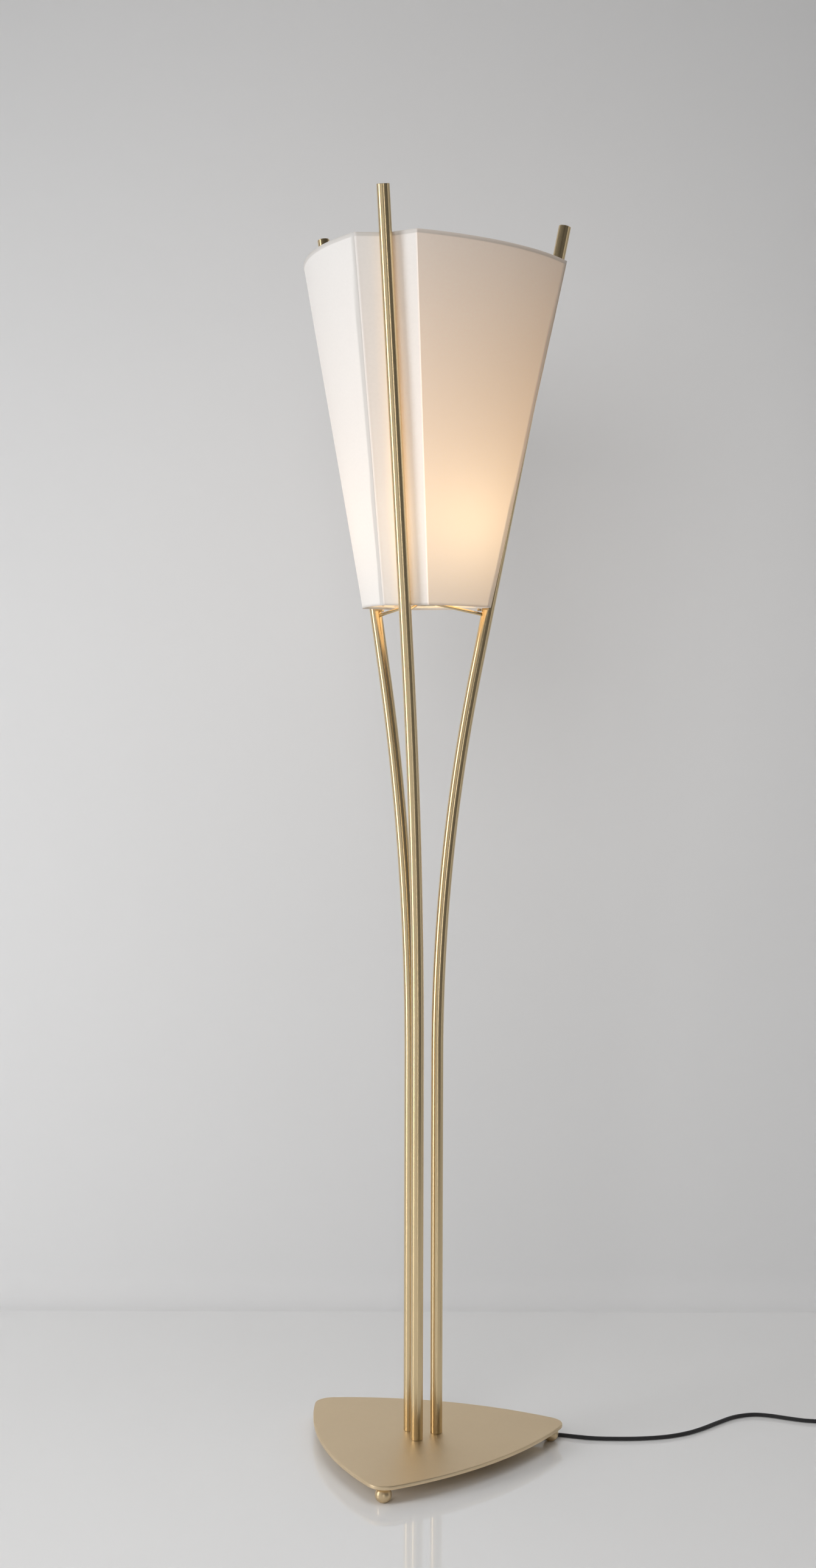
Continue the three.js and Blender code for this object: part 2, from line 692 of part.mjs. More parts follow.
const clampEntry = new THREE.Vector2(-CLAMP_LENGTH / 2, 0)
  .rotateAround(new THREE.Vector2(), clampTurn)
  .add(CLAMP_AT);
const basePoints = [
  [0, -STEM_OFFSET, 60],
  [0, -STEM_OFFSET, 40],
  [0, -STEM_OFFSET, 22],
  [0.4, -STEM_OFFSET, 15],
  [3, -STEM_OFFSET, 9],
  [11, -STEM_OFFSET, 4.8],
  [26, -17, 4.4],
  [42, 2, 5.5],
  [54, 22, 8],
  [63, 40, 10.4],
  [clampEntry.x - 6 * Math.cos(clampTurn), clampEntry.y - 6 * Math.sin(clampTurn), CLAMP_Z],
  [CLAMP_AT.x, CLAMP_AT.y, CLAMP_Z],
];
// A piece of cord through given points, with the same number of steps between each two.
function cordAlong(points, stepsEach) {
  const curve = new RouteCurve(points.map((p) => new THREE.Vector3(...p)));
  return sweep(curve, CORD_R, { steps: (points.length - 1) * stepsEach });
}
addMesh("base_lead", cordAlong(basePoints, 2), "textile");

// ---- cord on the floor --------------------------------------------------------------------------

// The route from the strain relief, past the right foot, in a loose bend to the foot switch.
const sleeveEnd = new THREE.Vector2(sleeveStart + SLEEVE_LENGTH, 0)
  .rotateAround(new THREE.Vector2(), clampTurn)
  .add(CLAMP_AT);
const runPoints = [
  [CLAMP_AT.x + GAP, CLAMP_AT.y + GAP, CLAMP_Z],
  [90.3, 67.4, CLAMP_Z],
  [sleeveEnd.x, sleeveEnd.y, CLAMP_Z],
  [114.5, 85.6, 9],
  [126, 93.2, 5.2],
  [138, 99.6, 3],
  [151, 104.8, CORD_REST],
  [166, 107.2, CORD_REST],
  [186, 106.6, CORD_REST],
  [212, 107, CORD_REST],
  [241, 113, CORD_REST],
  [274, 123.5, CORD_REST],
  [306, 140, CORD_REST],
  [330, 161, CORD_REST],
  [347, 184, CORD_REST],
  [364, 213, CORD_REST],
  [384, 243, CORD_REST],
  [407, 259, CORD_REST],
  [430, 261, CORD_REST],
  [454, 257, CORD_REST],
  [478, 254, CORD_REST],
  [496, 255.5, CORD_REST],
  [514, 257.5, CORD_REST],
  [531, 252, CORD_REST],
  [542, 239, 3.6],
  [SWITCH_AT.x, 226, 5.6],
  [SWITCH_AT.x, SWITCH_AT.y + SWITCH_LENGTH / 2, SWITCH_SPLIT],
  [SWITCH_AT.x, SWITCH_AT.y + 15, SWITCH_SPLIT],
];
addMesh("cord_run", cordAlong(runPoints, 2), "textile");

const coilOuterLine = COIL_MEAN_R + ((COIL_COLUMNS - 1) / 2) * 2 * CORD_R; // outermost turn's centreline
const tailPoints = [
  [SWITCH_AT.x, SWITCH_AT.y - 15, SWITCH_SPLIT],
  [SWITCH_AT.x, SWITCH_AT.y - SWITCH_LENGTH / 2, SWITCH_SPLIT],
  [543.5, 132, 5.4],
  [537, 117, 3.8],
  [529, 100, 3.7],
  [COIL_AT.x - coilOuterLine - 1.2, 84, 3.7],
];
addMesh("cord_tail", cordAlong(tailPoints, 2), "textile");

const coilInnerR = COIL_MEAN_R - (COIL_COLUMNS / 2) * 2 * CORD_R;
const coilOuterR = COIL_MEAN_R + (COIL_COLUMNS / 2) * 2 * CORD_R;
const coilTop = COIL_BASE + COIL_LAYERS * 2 * CORD_R;
const coil = addMesh("cord_coil", ring(coilInnerR, coilOuterR, COIL_BASE, coilTop, 32), "textile");
coil.position.set(COIL_AT.x, COIL_AT.y, 0);
const TIE_WALL = 0.6;
const tieShape = new THREE.Shape();
const tieReach = (coilOuterR - coilInnerR) / 2 + GAP;
const tieLow = COIL_BASE - GAP;
const tieHigh = coilTop + GAP;
const rectangle = (path, halfX, low, high) =>
  path.moveTo(-halfX, low).lineTo(halfX, low).lineTo(halfX, high).lineTo(-halfX, high).lineTo(-halfX, low);
rectangle(tieShape, tieReach + 1 + TIE_WALL, tieLow - TIE_WALL, tieHigh + TIE_WALL);
const tieHole = new THREE.Path();
rectangle(tieHole, tieReach + 1, tieLow, tieHigh);
tieShape.holes.push(tieHole);
const TIE_WIDTH = 6;
const tie = addMesh("coil_tie", slab(tieShape, -TIE_WIDTH / 2, TIE_WIDTH / 2), "blackPlastic");
tie.geometry.rotateX(Math.PI / 2);
tie.position.set(COIL_AT.x + COIL_MEAN_R, COIL_AT.y, 0);

// ---- foot switch --------------------------------------------------------------------------------

const switchGroup = new THREE.Group();
switchGroup.position.set(SWITCH_AT.x, SWITCH_AT.y, 0);
switchGroup.rotation.z = Math.PI / 2;
lamp.add(switchGroup);
const BUTTON_R = 9;
const BUTTON_FLANGE = 1.5;
const cavityTop = SWITCH_TOP - 4;
const switchOutline = roundedRectangle(SWITCH_LENGTH, SWITCH_WIDTH, 10);
const cordSlot = levelRod(CORD_HOLE_R + 0.1, -SWITCH_LENGTH, SWITCH_LENGTH, SWITCH_SPLIT);
const switchScrewPlaces = [[-28, -8], [28, 8]];
const screwHoles = switchScrewPlaces.map(([x, y]) => rod(1.7, -1, 13, 12).translate(x, y, 0));
const screwHeadHoles = switchScrewPlaces.map(([x, y]) => rod(3, -1, 2.5, 12).translate(x, y, 0));
addMesh(
  "switch_base",
  cut(slab(switchOutline, 0, SWITCH_SPLIT - GAP / 2), [
    box(42, 22, 1.5, SWITCH_SPLIT + 1),
    cordSlot,
    ...screwHoles,
    ...screwHeadHoles,
  ]),
  "blackPlastic",
  switchGroup,
);
addMesh(
  "switch_cover",
  cut(slab(switchOutline, SWITCH_SPLIT + GAP / 2, SWITCH_TOP), [
    box(42, 22.6, SWITCH_SPLIT - 1, cavityTop),
    rod(BUTTON_R + GAP, cavityTop - 1, SWITCH_TOP + 1, 16),
    cordSlot,
    ...screwHoles,
  ]),
  "blackPlastic",
  switchGroup,
);
const flangeTop = cavityTop - GAP;
addMesh(
  "switch_button",
  turned([
    [0, flangeTop - 3],
    [BUTTON_R + BUTTON_FLANGE, flangeTop - 3],
    [BUTTON_R + BUTTON_FLANGE, flangeTop],
    [BUTTON_R, flangeTop],
    [BUTTON_R, SWITCH_TOP + 2.5],
    [BUTTON_R - 1, SWITCH_TOP + 3.5],
    [0, SWITCH_TOP + 3.5],
  ]),
  "blackPlastic",
  switchGroup,
);
addMesh("switch_core", box(18, 12, 1.5 + GAP, 8.5), "insulator", switchGroup);
for (const [index, [x, y]] of switchScrewPlaces.entries()) {
  const screw = join([rod(2.6, 0.6, 2.2, 12), rod(1.4, 1.4, 12, 12)]);
  const mesh = addMesh(`switch_screw_${index + 1}`, screw, "steel", switchGroup);
  mesh.position.set(x, y, 0);
}

// ---- plug ---------------------------------------------------------------------------------------

const PLUG_THICKNESS = 13;
const PLUG_LENGTH = 36;
const PIN_SPREAD = 18.6;
const plugGroup = new THREE.Group();
plugGroup.position.set(PLUG_AT.x, PLUG_AT.y, 0);
plugGroup.rotation.z = THREE.MathUtils.degToRad(PLUG_TURN);
lamp.add(plugGroup);
// Six-sided body, widest at the pins, with the cord's boot as its narrow end.
const plugShape = new THREE.Shape([
  new THREE.Vector2(0, -5),
  new THREE.Vector2(10, -6.5),
  new THREE.Vector2(20, -12.5),
  new THREE.Vector2(PLUG_LENGTH, -12.5),
  new THREE.Vector2(PLUG_LENGTH, 12.5),
  new THREE.Vector2(20, 12.5),
  new THREE.Vector2(10, 6.5),
  new THREE.Vector2(0, 5),
]);
addMesh("plug_body", slab(plugShape, 0, PLUG_THICKNESS), "blackPlastic", plugGroup);
for (const [index, side] of [-1, 1].entries()) {
  const pin = levelRod(2, PLUG_LENGTH + GAP, PLUG_LENGTH + GAP + 19, PLUG_THICKNESS / 2);
  const mesh = addMesh(`plug_pin_${index + 1}`, pin, "steel", plugGroup);
  mesh.position.y = (side * PIN_SPREAD) / 2;
}
const plugEntry = new THREE.Vector2(-GAP, 0)
  .rotateAround(new THREE.Vector2(), THREE.MathUtils.degToRad(PLUG_TURN))
  .add(PLUG_AT);
const endPoints = [
  [COIL_AT.x - coilOuterR - 0.6, 42, coilTop - CORD_R],
  [522, 33, 7.6],
  [526, 22, 6.6],
  [plugEntry.x - 0.8, plugEntry.y + 7, PLUG_THICKNESS / 2],
  [plugEntry.x, plugEntry.y, PLUG_THICKNESS / 2],
];
addMesh("cord_end", cordAlong(endPoints, 2), "textile");

// ---- frame --------------------------------------------------------------------------------------

// The lamp's axis stands behind the middle of its footprint: the front tube's end reaches furthest forward,
// and the middle of the shade's rear panel reaches furthest back.
const frontReach = offsetAt(TUBE_TOP_Z) + TUBE_R * Math.cos(TILT);
const rearReach = Math.max(...shadeOutline(SHADE_TOP, 0).map(([, y]) => y));
lamp.position.y = (frontReach - rearReach) / 2;

const part = new THREE.Group();
part.add(lamp);
export default part;
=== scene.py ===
import json
import math
from functools import partial

import bpy
import numpy as np
from mathutils import Matrix, Vector


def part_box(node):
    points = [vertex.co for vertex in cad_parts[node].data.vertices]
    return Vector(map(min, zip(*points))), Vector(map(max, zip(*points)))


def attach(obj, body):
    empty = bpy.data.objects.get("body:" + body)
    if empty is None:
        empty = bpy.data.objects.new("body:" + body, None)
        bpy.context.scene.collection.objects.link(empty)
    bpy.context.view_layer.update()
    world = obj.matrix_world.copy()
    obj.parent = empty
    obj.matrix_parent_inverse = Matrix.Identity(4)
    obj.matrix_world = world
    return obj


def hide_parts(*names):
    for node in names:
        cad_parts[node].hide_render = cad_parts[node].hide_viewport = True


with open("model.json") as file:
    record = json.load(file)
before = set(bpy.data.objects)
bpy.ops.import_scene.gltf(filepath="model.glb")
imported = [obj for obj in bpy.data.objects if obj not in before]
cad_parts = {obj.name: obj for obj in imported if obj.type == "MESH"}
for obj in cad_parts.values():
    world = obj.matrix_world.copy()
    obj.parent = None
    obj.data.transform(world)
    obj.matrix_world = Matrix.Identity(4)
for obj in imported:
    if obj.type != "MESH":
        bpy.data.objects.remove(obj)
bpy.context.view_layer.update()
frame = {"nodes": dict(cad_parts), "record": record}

# Tripod floor lamp. Metres, +Z up, the front tube towards -Y.

axisY = sum(p[1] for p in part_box("arm_hub")) / 2  # the lamp's own axis stands at x = 0, y = axisY
legTurns = {"front": -90.0, "right": 30.0, "left": 150.0}


cameraSettings = {
    "place": (0.71025, axisY - 2.67295, 0.99678),
    "azimuth": 15.27,  # degrees round the lamp from straight ahead
    "downward": 2.389,
    "roll": 0.128,
    "focal": 48.869,
}


def makeCamera(s):
    data = bpy.data.cameras.new("camera")
    data.lens = s["focal"]
    data.sensor_width = 36.0
    data.clip_end = 100.0
    camera = bpy.data.objects.new("camera", data)
    bpy.context.scene.collection.objects.link(camera)
    upright = Matrix.Rotation(math.radians(90 - s["downward"]), 4, "X")
    turned = Matrix.Rotation(math.radians(s["azimuth"]), 4, "Z")
    rolled = Matrix.Rotation(math.radians(s["roll"]), 4, "Z")
    camera.matrix_world = Matrix.Translation(s["place"]) @ turned @ upright @ rolled
    bpy.context.scene.camera = camera
    return camera


makeCamera(cameraSettings)
print("camera set")


# Vertices and faces in metres become an object at the origin, smooth but for its sharp edges.
def meshObject(name, points, faces, uv=None, sharpDegrees=35.0):
    mesh = bpy.data.meshes.new(name)
    mesh.from_pydata(points.reshape(-1, 3).tolist(), [], faces)
    if uv is not None:
        layer = mesh.uv_layers.new(name="cloth")
        corner = np.zeros(len(mesh.loops), np.int32)
        mesh.loops.foreach_get("vertex_index", corner)
        layer.data.foreach_set("uv", uv.reshape(-1, 2)[corner].astype(np.float32).ravel())
    mesh.polygons.foreach_set("use_smooth", np.ones(len(mesh.polygons), bool))
    mesh.update()
    mesh.set_sharp_from_angle(angle=math.radians(sharpDegrees))
    piece = bpy.data.objects.new(name, mesh)
    bpy.context.scene.collection.objects.link(piece)
    return piece


# Corner numbers of the quads of a rows by cols grid.
def quadFaces(rows, cols, closeRows, closeCols):
    i = np.arange(rows if closeRows else rows - 1)[:, None]
    j = np.arange(cols if closeCols else cols - 1)[None, :]
    nextI = (i + 1) % rows
    nextJ = (j + 1) % cols
    corners = np.broadcast_arrays(i * cols + j, i * cols + nextJ, nextI * cols + nextJ, nextI * cols + j)
    return np.stack([c.ravel() for c in corners], 1)


# Sum of the tetrahedra from the middle to each quad's two triangles.
def signedVolume(points, quads):
    p = points - points.mean(0)
    a, b, c, d = (p[quads[:, k]] for k in range(4))
    first = np.einsum("ij,ij->i", a, np.cross(b, c))
    second = np.einsum("ij,ij->i", a, np.cross(c, d))
    return float((first + second).sum()) / 6


# Rings of points joined in order, with faces out by the signed volume. Rows that don't close on themselves
# end in a fan from the ring's middle.
def loftedSolid(name, rings, closeRows=False, sharpDegrees=35.0, uv=None):
    rings = np.asarray(rings, float)
    rows, cols = rings.shape[:2]
    points = rings.reshape(-1, 3)
    quads = quadFaces(rows, cols, closeRows, True)
    blocks = [quads]
    whole = quads
    if not closeRows:
        points = np.vstack([points, rings[0].mean(0), rings[-1].mean(0)])
        j = np.arange(cols)
        nextJ = (j + 1) % cols
        last = (rows - 1) * cols
        lowFan = np.stack([np.full(cols, rows * cols), nextJ, j, j], 1)
        highFan = np.stack([np.full(cols, rows * cols + 1), last + j, last + nextJ, last + nextJ], 1)
        whole = np.vstack([quads, lowFan, highFan])
        blocks = [quads, lowFan[:, :3], highFan[:, :3]]
        if uv is not None:
            uv = np.vstack([uv.reshape(-1, 2), uv[0].mean(0), uv[-1].mean(0)])
    flip = signedVolume(points, whole) < 0
    faces = [face for block in blocks for face in (block[:, ::-1] if flip else block).tolist()]
    return meshObject(name, points, faces, uv, sharpDegrees)


# Evenly spaced angles of a whole turn, without the last.
def turnAngles(count):
    return np.linspace(0, 2 * np.pi, count, endpoint=False)


# A profile of (radius, height) carried round +Z: x = r cos a, y = r sin a.
def turnedRings(profile, sides=48):
    profile = np.asarray(profile, float)
    a = turnAngles(sides)
    r = np.maximum(profile[:, 0], 1e-5)[:, None]
    z = np.broadcast_to(profile[:, 1][:, None], (len(profile), sides))
    return np.stack([r * np.cos(a), r * np.sin(a), z], 2)


# Points turned about +Z by degrees and moved.
def placed(rings, turn=0.0, at=(0.0, 0.0, 0.0)):
    c, s = math.cos(math.radians(turn)), math.sin(math.radians(turn))
    m = np.array([[c, -s, 0], [s, c, 0], [0, 0, 1]])
    return rings @ m.T + np.array(at)


# Points given round the lamp's own axis, turned and moved into the part's frame.
def lamped(rings, turn=0.0, at=(0.0, 0.0, 0.0)):
    return placed(rings + np.array(at), turn, (0, axisY, 0))


# A place on the floor, given from the lamp's axis, in the part's frame.
def fromAxis(at):
    return (at[0], at[1] + axisY, 0)


# Vectors divided by their own lengths.
def unit(vectors):
    return vectors / np.linalg.norm(vectors, axis=-1, keepdims=True)


# A unit vector square to a direction, level unless the direction is upright.
def sideways(direction):
    side = np.cross(direction, [0.0, 0.0, 1.0])
    if np.linalg.norm(side) < 0.1:
        side = np.cross(direction, [0.0, 1.0, 0.0])
    return unit(side)


# Tangent, side and upper vectors along a path, carried from one station to the next without twisting.
def pathFrames(path):
    tangent = unit(np.gradient(path, axis=0))
    side = np.zeros_like(tangent)
    side[0] = sideways(tangent[0])
    for k in range(1, len(path)):
        side[k] = unit(side[k - 1] - tangent[k] * (side[k - 1] @ tangent[k]))
    return tangent, side, np.cross(side, tangent)


# Circles about a path's stations: station + radius (side cos a + upper sin a).
def circles(path, side, upper, radii, sides):
    a = turnAngles(sides)[:, None]
    ring = side[..., None, :] * np.cos(a) + upper[..., None, :] * np.sin(a)
    return path[:, None, :] + ring * radii[:, None, None]


# A circle of one radius, or of a radius for each station, carried along a path.
def sweptRings(path, radius, sides=24):
    side, upper = pathFrames(path)[1:]
    return circles(path, side, upper, np.broadcast_to(radius, (len(path),)), sides)


# A straight rod whose ends are rounded over by quarter circles.
def rodRings(start, end, radius, rounding, sides=24):
    start, end = np.asarray(start, float), np.asarray(end, float)
    length = np.linalg.norm(end - start)
    along = (end - start) / length
    q = np.linspace(np.pi / 2, 0, 5)
    low = rounding * (1 - np.sin(q))
    lowR = radius - rounding * (1 - np.cos(q))
    stations = np.concatenate([low, (length - low)[::-1]])
    radii = np.concatenate([lowR, lowR[::-1]])
    path = start + along * stations[:, None]
    side = sideways(along)
    return circles(path, side, np.cross(side, along), radii, sides)


# Centripetal Catmull-Rom curve through the points.
def smoothPath(points, perSpan=8):
    p = np.asarray(points, float)
    p = np.vstack([2 * p[0] - p[1], p, 2 * p[-1] - p[-2]])
    out = []
    for k in range(1, len(p) - 2):
        p0, p1, p2, p3 = p[k - 1 : k + 3]
        t1 = math.sqrt(np.linalg.norm(p1 - p0))
        t2 = t1 + math.sqrt(np.linalg.norm(p2 - p1))
        t3 = t2 + math.sqrt(np.linalg.norm(p3 - p2))
        t = np.linspace(t1, t2, perSpan, endpoint=False)[:, None]
        a1 = (t1 - t) / t1 * p0 + t / t1 * p1
        a2 = (t2 - t) / (t2 - t1) * p1 + (t - t1) / (t2 - t1) * p2
        a3 = (t3 - t) / (t3 - t2) * p2 + (t - t2) / (t3 - t2) * p3
        b1 = (t2 - t) / t2 * a1 + t / t2 * a2
        b2 = (t3 - t) / (t3 - t1) * a2 + (t - t1) / (t3 - t1) * a3
        out.append((t2 - t) / (t2 - t1) * b1 + (t - t1) / (t2 - t1) * b2)
    return np.vstack([*out, p[-2]])


# The same line with its stations evenly spaced.
def evenPath(path, spacing):
    steps = np.linalg.norm(np.diff(path, axis=0), axis=1)
    run = np.concatenate([[0], np.cumsum(steps)])
    s = np.linspace(0, run[-1], max(3, int(round(run[-1] / spacing)) + 1))
    return np.stack([np.interp(s, run, path[:, k]) for k in range(3)], 1), s


# A closed outline whose corners are rounded by quadratic curves between points near each corner.
def roundedProfile(corners, radius, steps=5):
    c = np.asarray(corners, float)
    out = []
    t = np.linspace(0, 1, steps)[:, None]
    for k in range(len(c)):
        a, b, d = c[k - 1], c[k], c[(k + 1) % len(c)]
        r = min(radius, 0.45 * np.linalg.norm(a - b), 0.45 * np.linalg.norm(d - b))
        p = b + (a - b) / np.linalg.norm(a - b) * r
        q = b + (d - b) / np.linalg.norm(d - b) * r
        out.append((1 - t) ** 2 * p + 2 * t * (1 - t) * b + t**2 * q)
    return np.vstack(out)


# Unit vectors out of a closed plan outline that runs counter-clockwise.
def outwards(loop):
    ahead = unit(np.roll(loop, -1, 0) - np.roll(loop, 1, 0))
    return np.stack([ahead[:, 1], -ahead[:, 0]], 1)


# The outline drawn in along its own normals.
def insetLoop(loop, inset):
    return loop - outwards(loop) * inset


# A rectangle whose corners are quarter circles; the same count of points in each corner.
def roundedBox(length, width, radius, perCorner=24):
    out = []
    for k, (x, y) in enumerate([(1, 1), (-1, 1), (-1, -1), (1, -1)]):
        a = k * np.pi / 2 + np.linspace(0.02, np.pi / 2 - 0.02, perCorner)
        out.append(np.stack([x * (length / 2 - radius) + radius * np.cos(a),
                             y * (width / 2 - radius) + radius * np.sin(a)], 1))
    return np.concatenate(out)


# A plan outline lifted to one height.
def levelRing(loop, z):
    return np.column_stack([loop, np.full(len(loop), z)])


# A slab: the outline drawn in round both edges by quarter circles, then closed over by shrunken copies.
def slabRings(loopAt, low, high, edge):
    q = np.linspace(0, np.pi / 2, 6)
    rounding = [(edge * (1 - math.cos(a)), edge * (1 - math.sin(a))) for a in q]
    skin = [levelRing(loopAt(inset), low + drop) for inset, drop in rounding[::-1]]
    skin += [levelRing(loopAt(inset), high - drop) for inset, drop in rounding]
    middle = skin[0].mean(0)[:2]
    shares = (0.98, 0.9, 0.7, 0.4)
    below = [levelRing(middle + (skin[0][:, :2] - middle) * k, low) for k in shares[::-1]]
    above = [levelRing(middle + (skin[-1][:, :2] - middle) * k, high) for k in shares]
    return np.array(below + skin + above)


def finishPiece(piece, material, body, slot, *nodes):
    piece.data.materials.append(material)
    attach(piece, body)
    if nodes:
        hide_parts(*nodes)
    return piece


def newGroup(name, inputs, outputs):
    group = bpy.data.node_groups.new(name, "ShaderNodeTree")
    for title, kind, value in inputs:
        socket = group.interface.new_socket(title, in_out="INPUT", socket_type=kind)
        if value is not None:
            socket.default_value = value
    for title, kind in outputs:
        group.interface.new_socket(title, in_out="OUTPUT", socket_type=kind)
    return group, group.nodes.new("NodeGroupInput"), group.nodes.new("NodeGroupOutput")


def addNode(tree, kind, **values):
    node = tree.nodes.new(kind)
    for key, value in values.items():
        setattr(node, key, value)
    return node


# A node's output is linked to the socket, and anything else is set on it.
def feed(tree, value, socket):
    if isinstance(value, bpy.types.NodeSocket):
        tree.links.new(value, socket)
    else:
        socket.default_value = value


def mathNode(tree, operation, first, second=0.5):
    node = addNode(tree, "ShaderNodeMath", operation=operation)
    feed(tree, first, node.inputs[0])
    feed(tree, second, node.inputs[1])
    return node.outputs[0]


def times(tree, first, second):
    return mathNode(tree, "MULTIPLY", first, second)


def plus(tree, first, second):
    return mathNode(tree, "ADD", first, second)


def noise(tree, vector, scale, detail=2.0, roughness=0.5):
    node = addNode(tree, "ShaderNodeTexNoise")
    feed(tree, vector, node.inputs["Vector"])
    feed(tree, scale, node.inputs["Scale"])
    node.inputs["Detail"].default_value = detail
    node.inputs["Roughness"].default_value = roughness
    return node.outputs["Fac"]


def clothMap(tree):
    return addNode(tree, "ShaderNodeUVMap", uv_map="cloth").outputs["UV"]


def objectPlace(tree):
    return addNode(tree, "ShaderNodeTexCoord").outputs["Object"]


# Fine brushed lines: noise stretched along one direction. Tone and Height vary from 0 to 1.
def makeFineGrain():
    group, source, sink = newGroup(
        "fineGrain",
        [("Vector", "NodeSocketVector", None), ("Stretch", "NodeSocketVector", (1.0, 1.0, 0.05)),
         ("Scale", "NodeSocketFloat", 900.0)],
        [("Tone", "NodeSocketFloat"), ("Height", "NodeSocketFloat")],
    )
    scaled = addNode(group, "ShaderNodeVectorMath", operation="MULTIPLY")
    group.links.new(source.outputs["Vector"], scaled.inputs[0])
    group.links.new(source.outputs["Stretch"], scaled.inputs[1])
    fine = noise(group, scaled.outputs[0], source.outputs["Scale"], 3.0)
    wide = noise(group, scaled.outputs[0], times(group, source.outputs["Scale"], 0.15))
    fineShare = times(group, fine, 0.6)
    mixed = plus(group, fineShare, times(group, wide, 0.4))
    group.links.new(mixed, sink.inputs["Tone"])
    group.links.new(fine, sink.inputs["Height"])
    return group


# Faint smears, dust and fingermarks: two sizes of soft noise put out as one mask from 0 to 1.
def makeHandling():
    group, source, sink = newGroup(
        "handling",
        [("Vector", "NodeSocketVector", None), ("Scale", "NodeSocketFloat", 9.0)],
        [("Mask", "NodeSocketFloat")],
    )
    soft = noise(group, source.outputs["Vector"], source.outputs["Scale"], 4.0, 0.62)
    ramp = addNode(group, "ShaderNodeMapRange")
    ramp.inputs["From Min"].default_value = 0.35
    ramp.inputs["From Max"].default_value = 0.7
    group.links.new(soft, ramp.inputs["Value"])
    group.links.new(ramp.outputs["Result"], sink.inputs["Mask"])
    return group


# Plain weave on a map in metres: warp and weft are sine ridges that pass over each other in turn.
def makeWoven():
    group, source, sink = newGroup(
        "woven",
        [("Vector", "NodeSocketVector", None), ("Threads", "NodeSocketFloat", 1500.0),
         ("Unevenness", "NodeSocketFloat", 0.3)],
        [("Height", "NodeSocketFloat"), ("Tone", "NodeSocketFloat")],
    )
    parts = addNode(group, "ShaderNodeSeparateXYZ")
    group.links.new(source.outputs["Vector"], parts.inputs[0])
    turns = times(group, source.outputs["Threads"], math.pi)
    across = mathNode(group, "SINE", times(group, parts.outputs["X"], turns))
    along = mathNode(group, "SINE", times(group, parts.outputs["Y"], turns))
    over = times(group, across, along)
    lifted = plus(group, times(group, over, 0.5), 0.5)
    slubs = noise(group, source.outputs["Vector"], 260.0, 3.0)
    uneven = times(group, slubs, source.outputs["Unevenness"])
    height = plus(group, times(group, lifted, 0.7), uneven)
    group.links.new(height, sink.inputs["Height"])
    group.links.new(slubs, sink.inputs["Tone"])
    return group


fineGrain = makeFineGrain()
handling = makeHandling()
woven = makeWoven()


def emptyMaterial(name):
    material = bpy.data.materials.new(name)
    material.use_nodes = True
    shader = material.node_tree.nodes["Principled BSDF"]
    return material, material.node_tree, shader


def placeGroup(tree, group, vector, **values):
    node = addNode(tree, "ShaderNodeGroup", node_tree=group)
    tree.links.new(vector, node.inputs["Vector"])
    for key, value in values.items():
        node.inputs[key].default_value = value
    return node


def blendColours(tree, factor, first, second):
    mix = addNode(tree, "ShaderNodeMix", data_type="RGBA")
    tree.links.new(factor, mix.inputs["Factor"])
    for socket, value in zip(mix.inputs[6:8], (first, second)):
        feed(tree, (*value, 1.0) if isinstance(value, tuple) else value, socket)
    return mix.outputs[2]


def spread(tree, value, low, high):
    node = addNode(tree, "ShaderNodeMapRange")
    node.inputs["To Min"].default_value = low
    node.inputs["To Max"].default_value = high
    tree.links.new(value, node.inputs["Value"])
    return node.outputs["Result"]


def bumped(tree, shader, height, strength, distance):
    bump = addNode(tree, "ShaderNodeBump")
    bump.inputs["Strength"].default_value = strength
    bump.inputs["Distance"].default_value = distance
    tree.links.new(height, bump.inputs["Height"])
    tree.links.new(bump.outputs["Normal"], shader.inputs["Normal"])


# Brushed or turned metal: two close tones by grain, roughness by grain and by handling marks.
def metalMaterial(name, light, dark, roughness, stretch, scale=900.0, bump=0.05, drawn=False):
    material, tree, shader = emptyMaterial(name)
    place = objectPlace(tree)
    lines = clothMap(tree) if drawn else place
    grain = placeGroup(tree, fineGrain, lines, Stretch=stretch, Scale=scale)
    marks = placeGroup(tree, handling, place, Scale=14.0)
    tree.links.new(blendColours(tree, grain.outputs["Tone"], dark, light), shader.inputs["Base Color"])
    fromGrain = times(tree, grain.outputs["Tone"], 0.6)
    both = plus(tree, fromGrain, times(tree, marks.outputs["Mask"], 0.4))
    tree.links.new(spread(tree, both, *roughness), shader.inputs["Roughness"])
    shader.inputs["Metallic"].default_value = 1.0
    bumped(tree, shader, grain.outputs["Height"], bump, 0.0002)
    return material


# Moulded plastic: a fine spark texture and slight handling marks.
def plasticMaterial(name, light, dark, roughness, bump=0.12):
    material, tree, shader = emptyMaterial(name)
    place = objectPlace(tree)
    marks = placeGroup(tree, handling, place, Scale=40.0)
    tree.links.new(blendColours(tree, marks.outputs["Mask"], dark, light), shader.inputs["Base Color"])
    tree.links.new(spread(tree, marks.outputs["Mask"], *roughness), shader.inputs["Roughness"])
    bumped(tree, shader, noise(tree, place, 2600.0), bump, 0.0001)
    return material


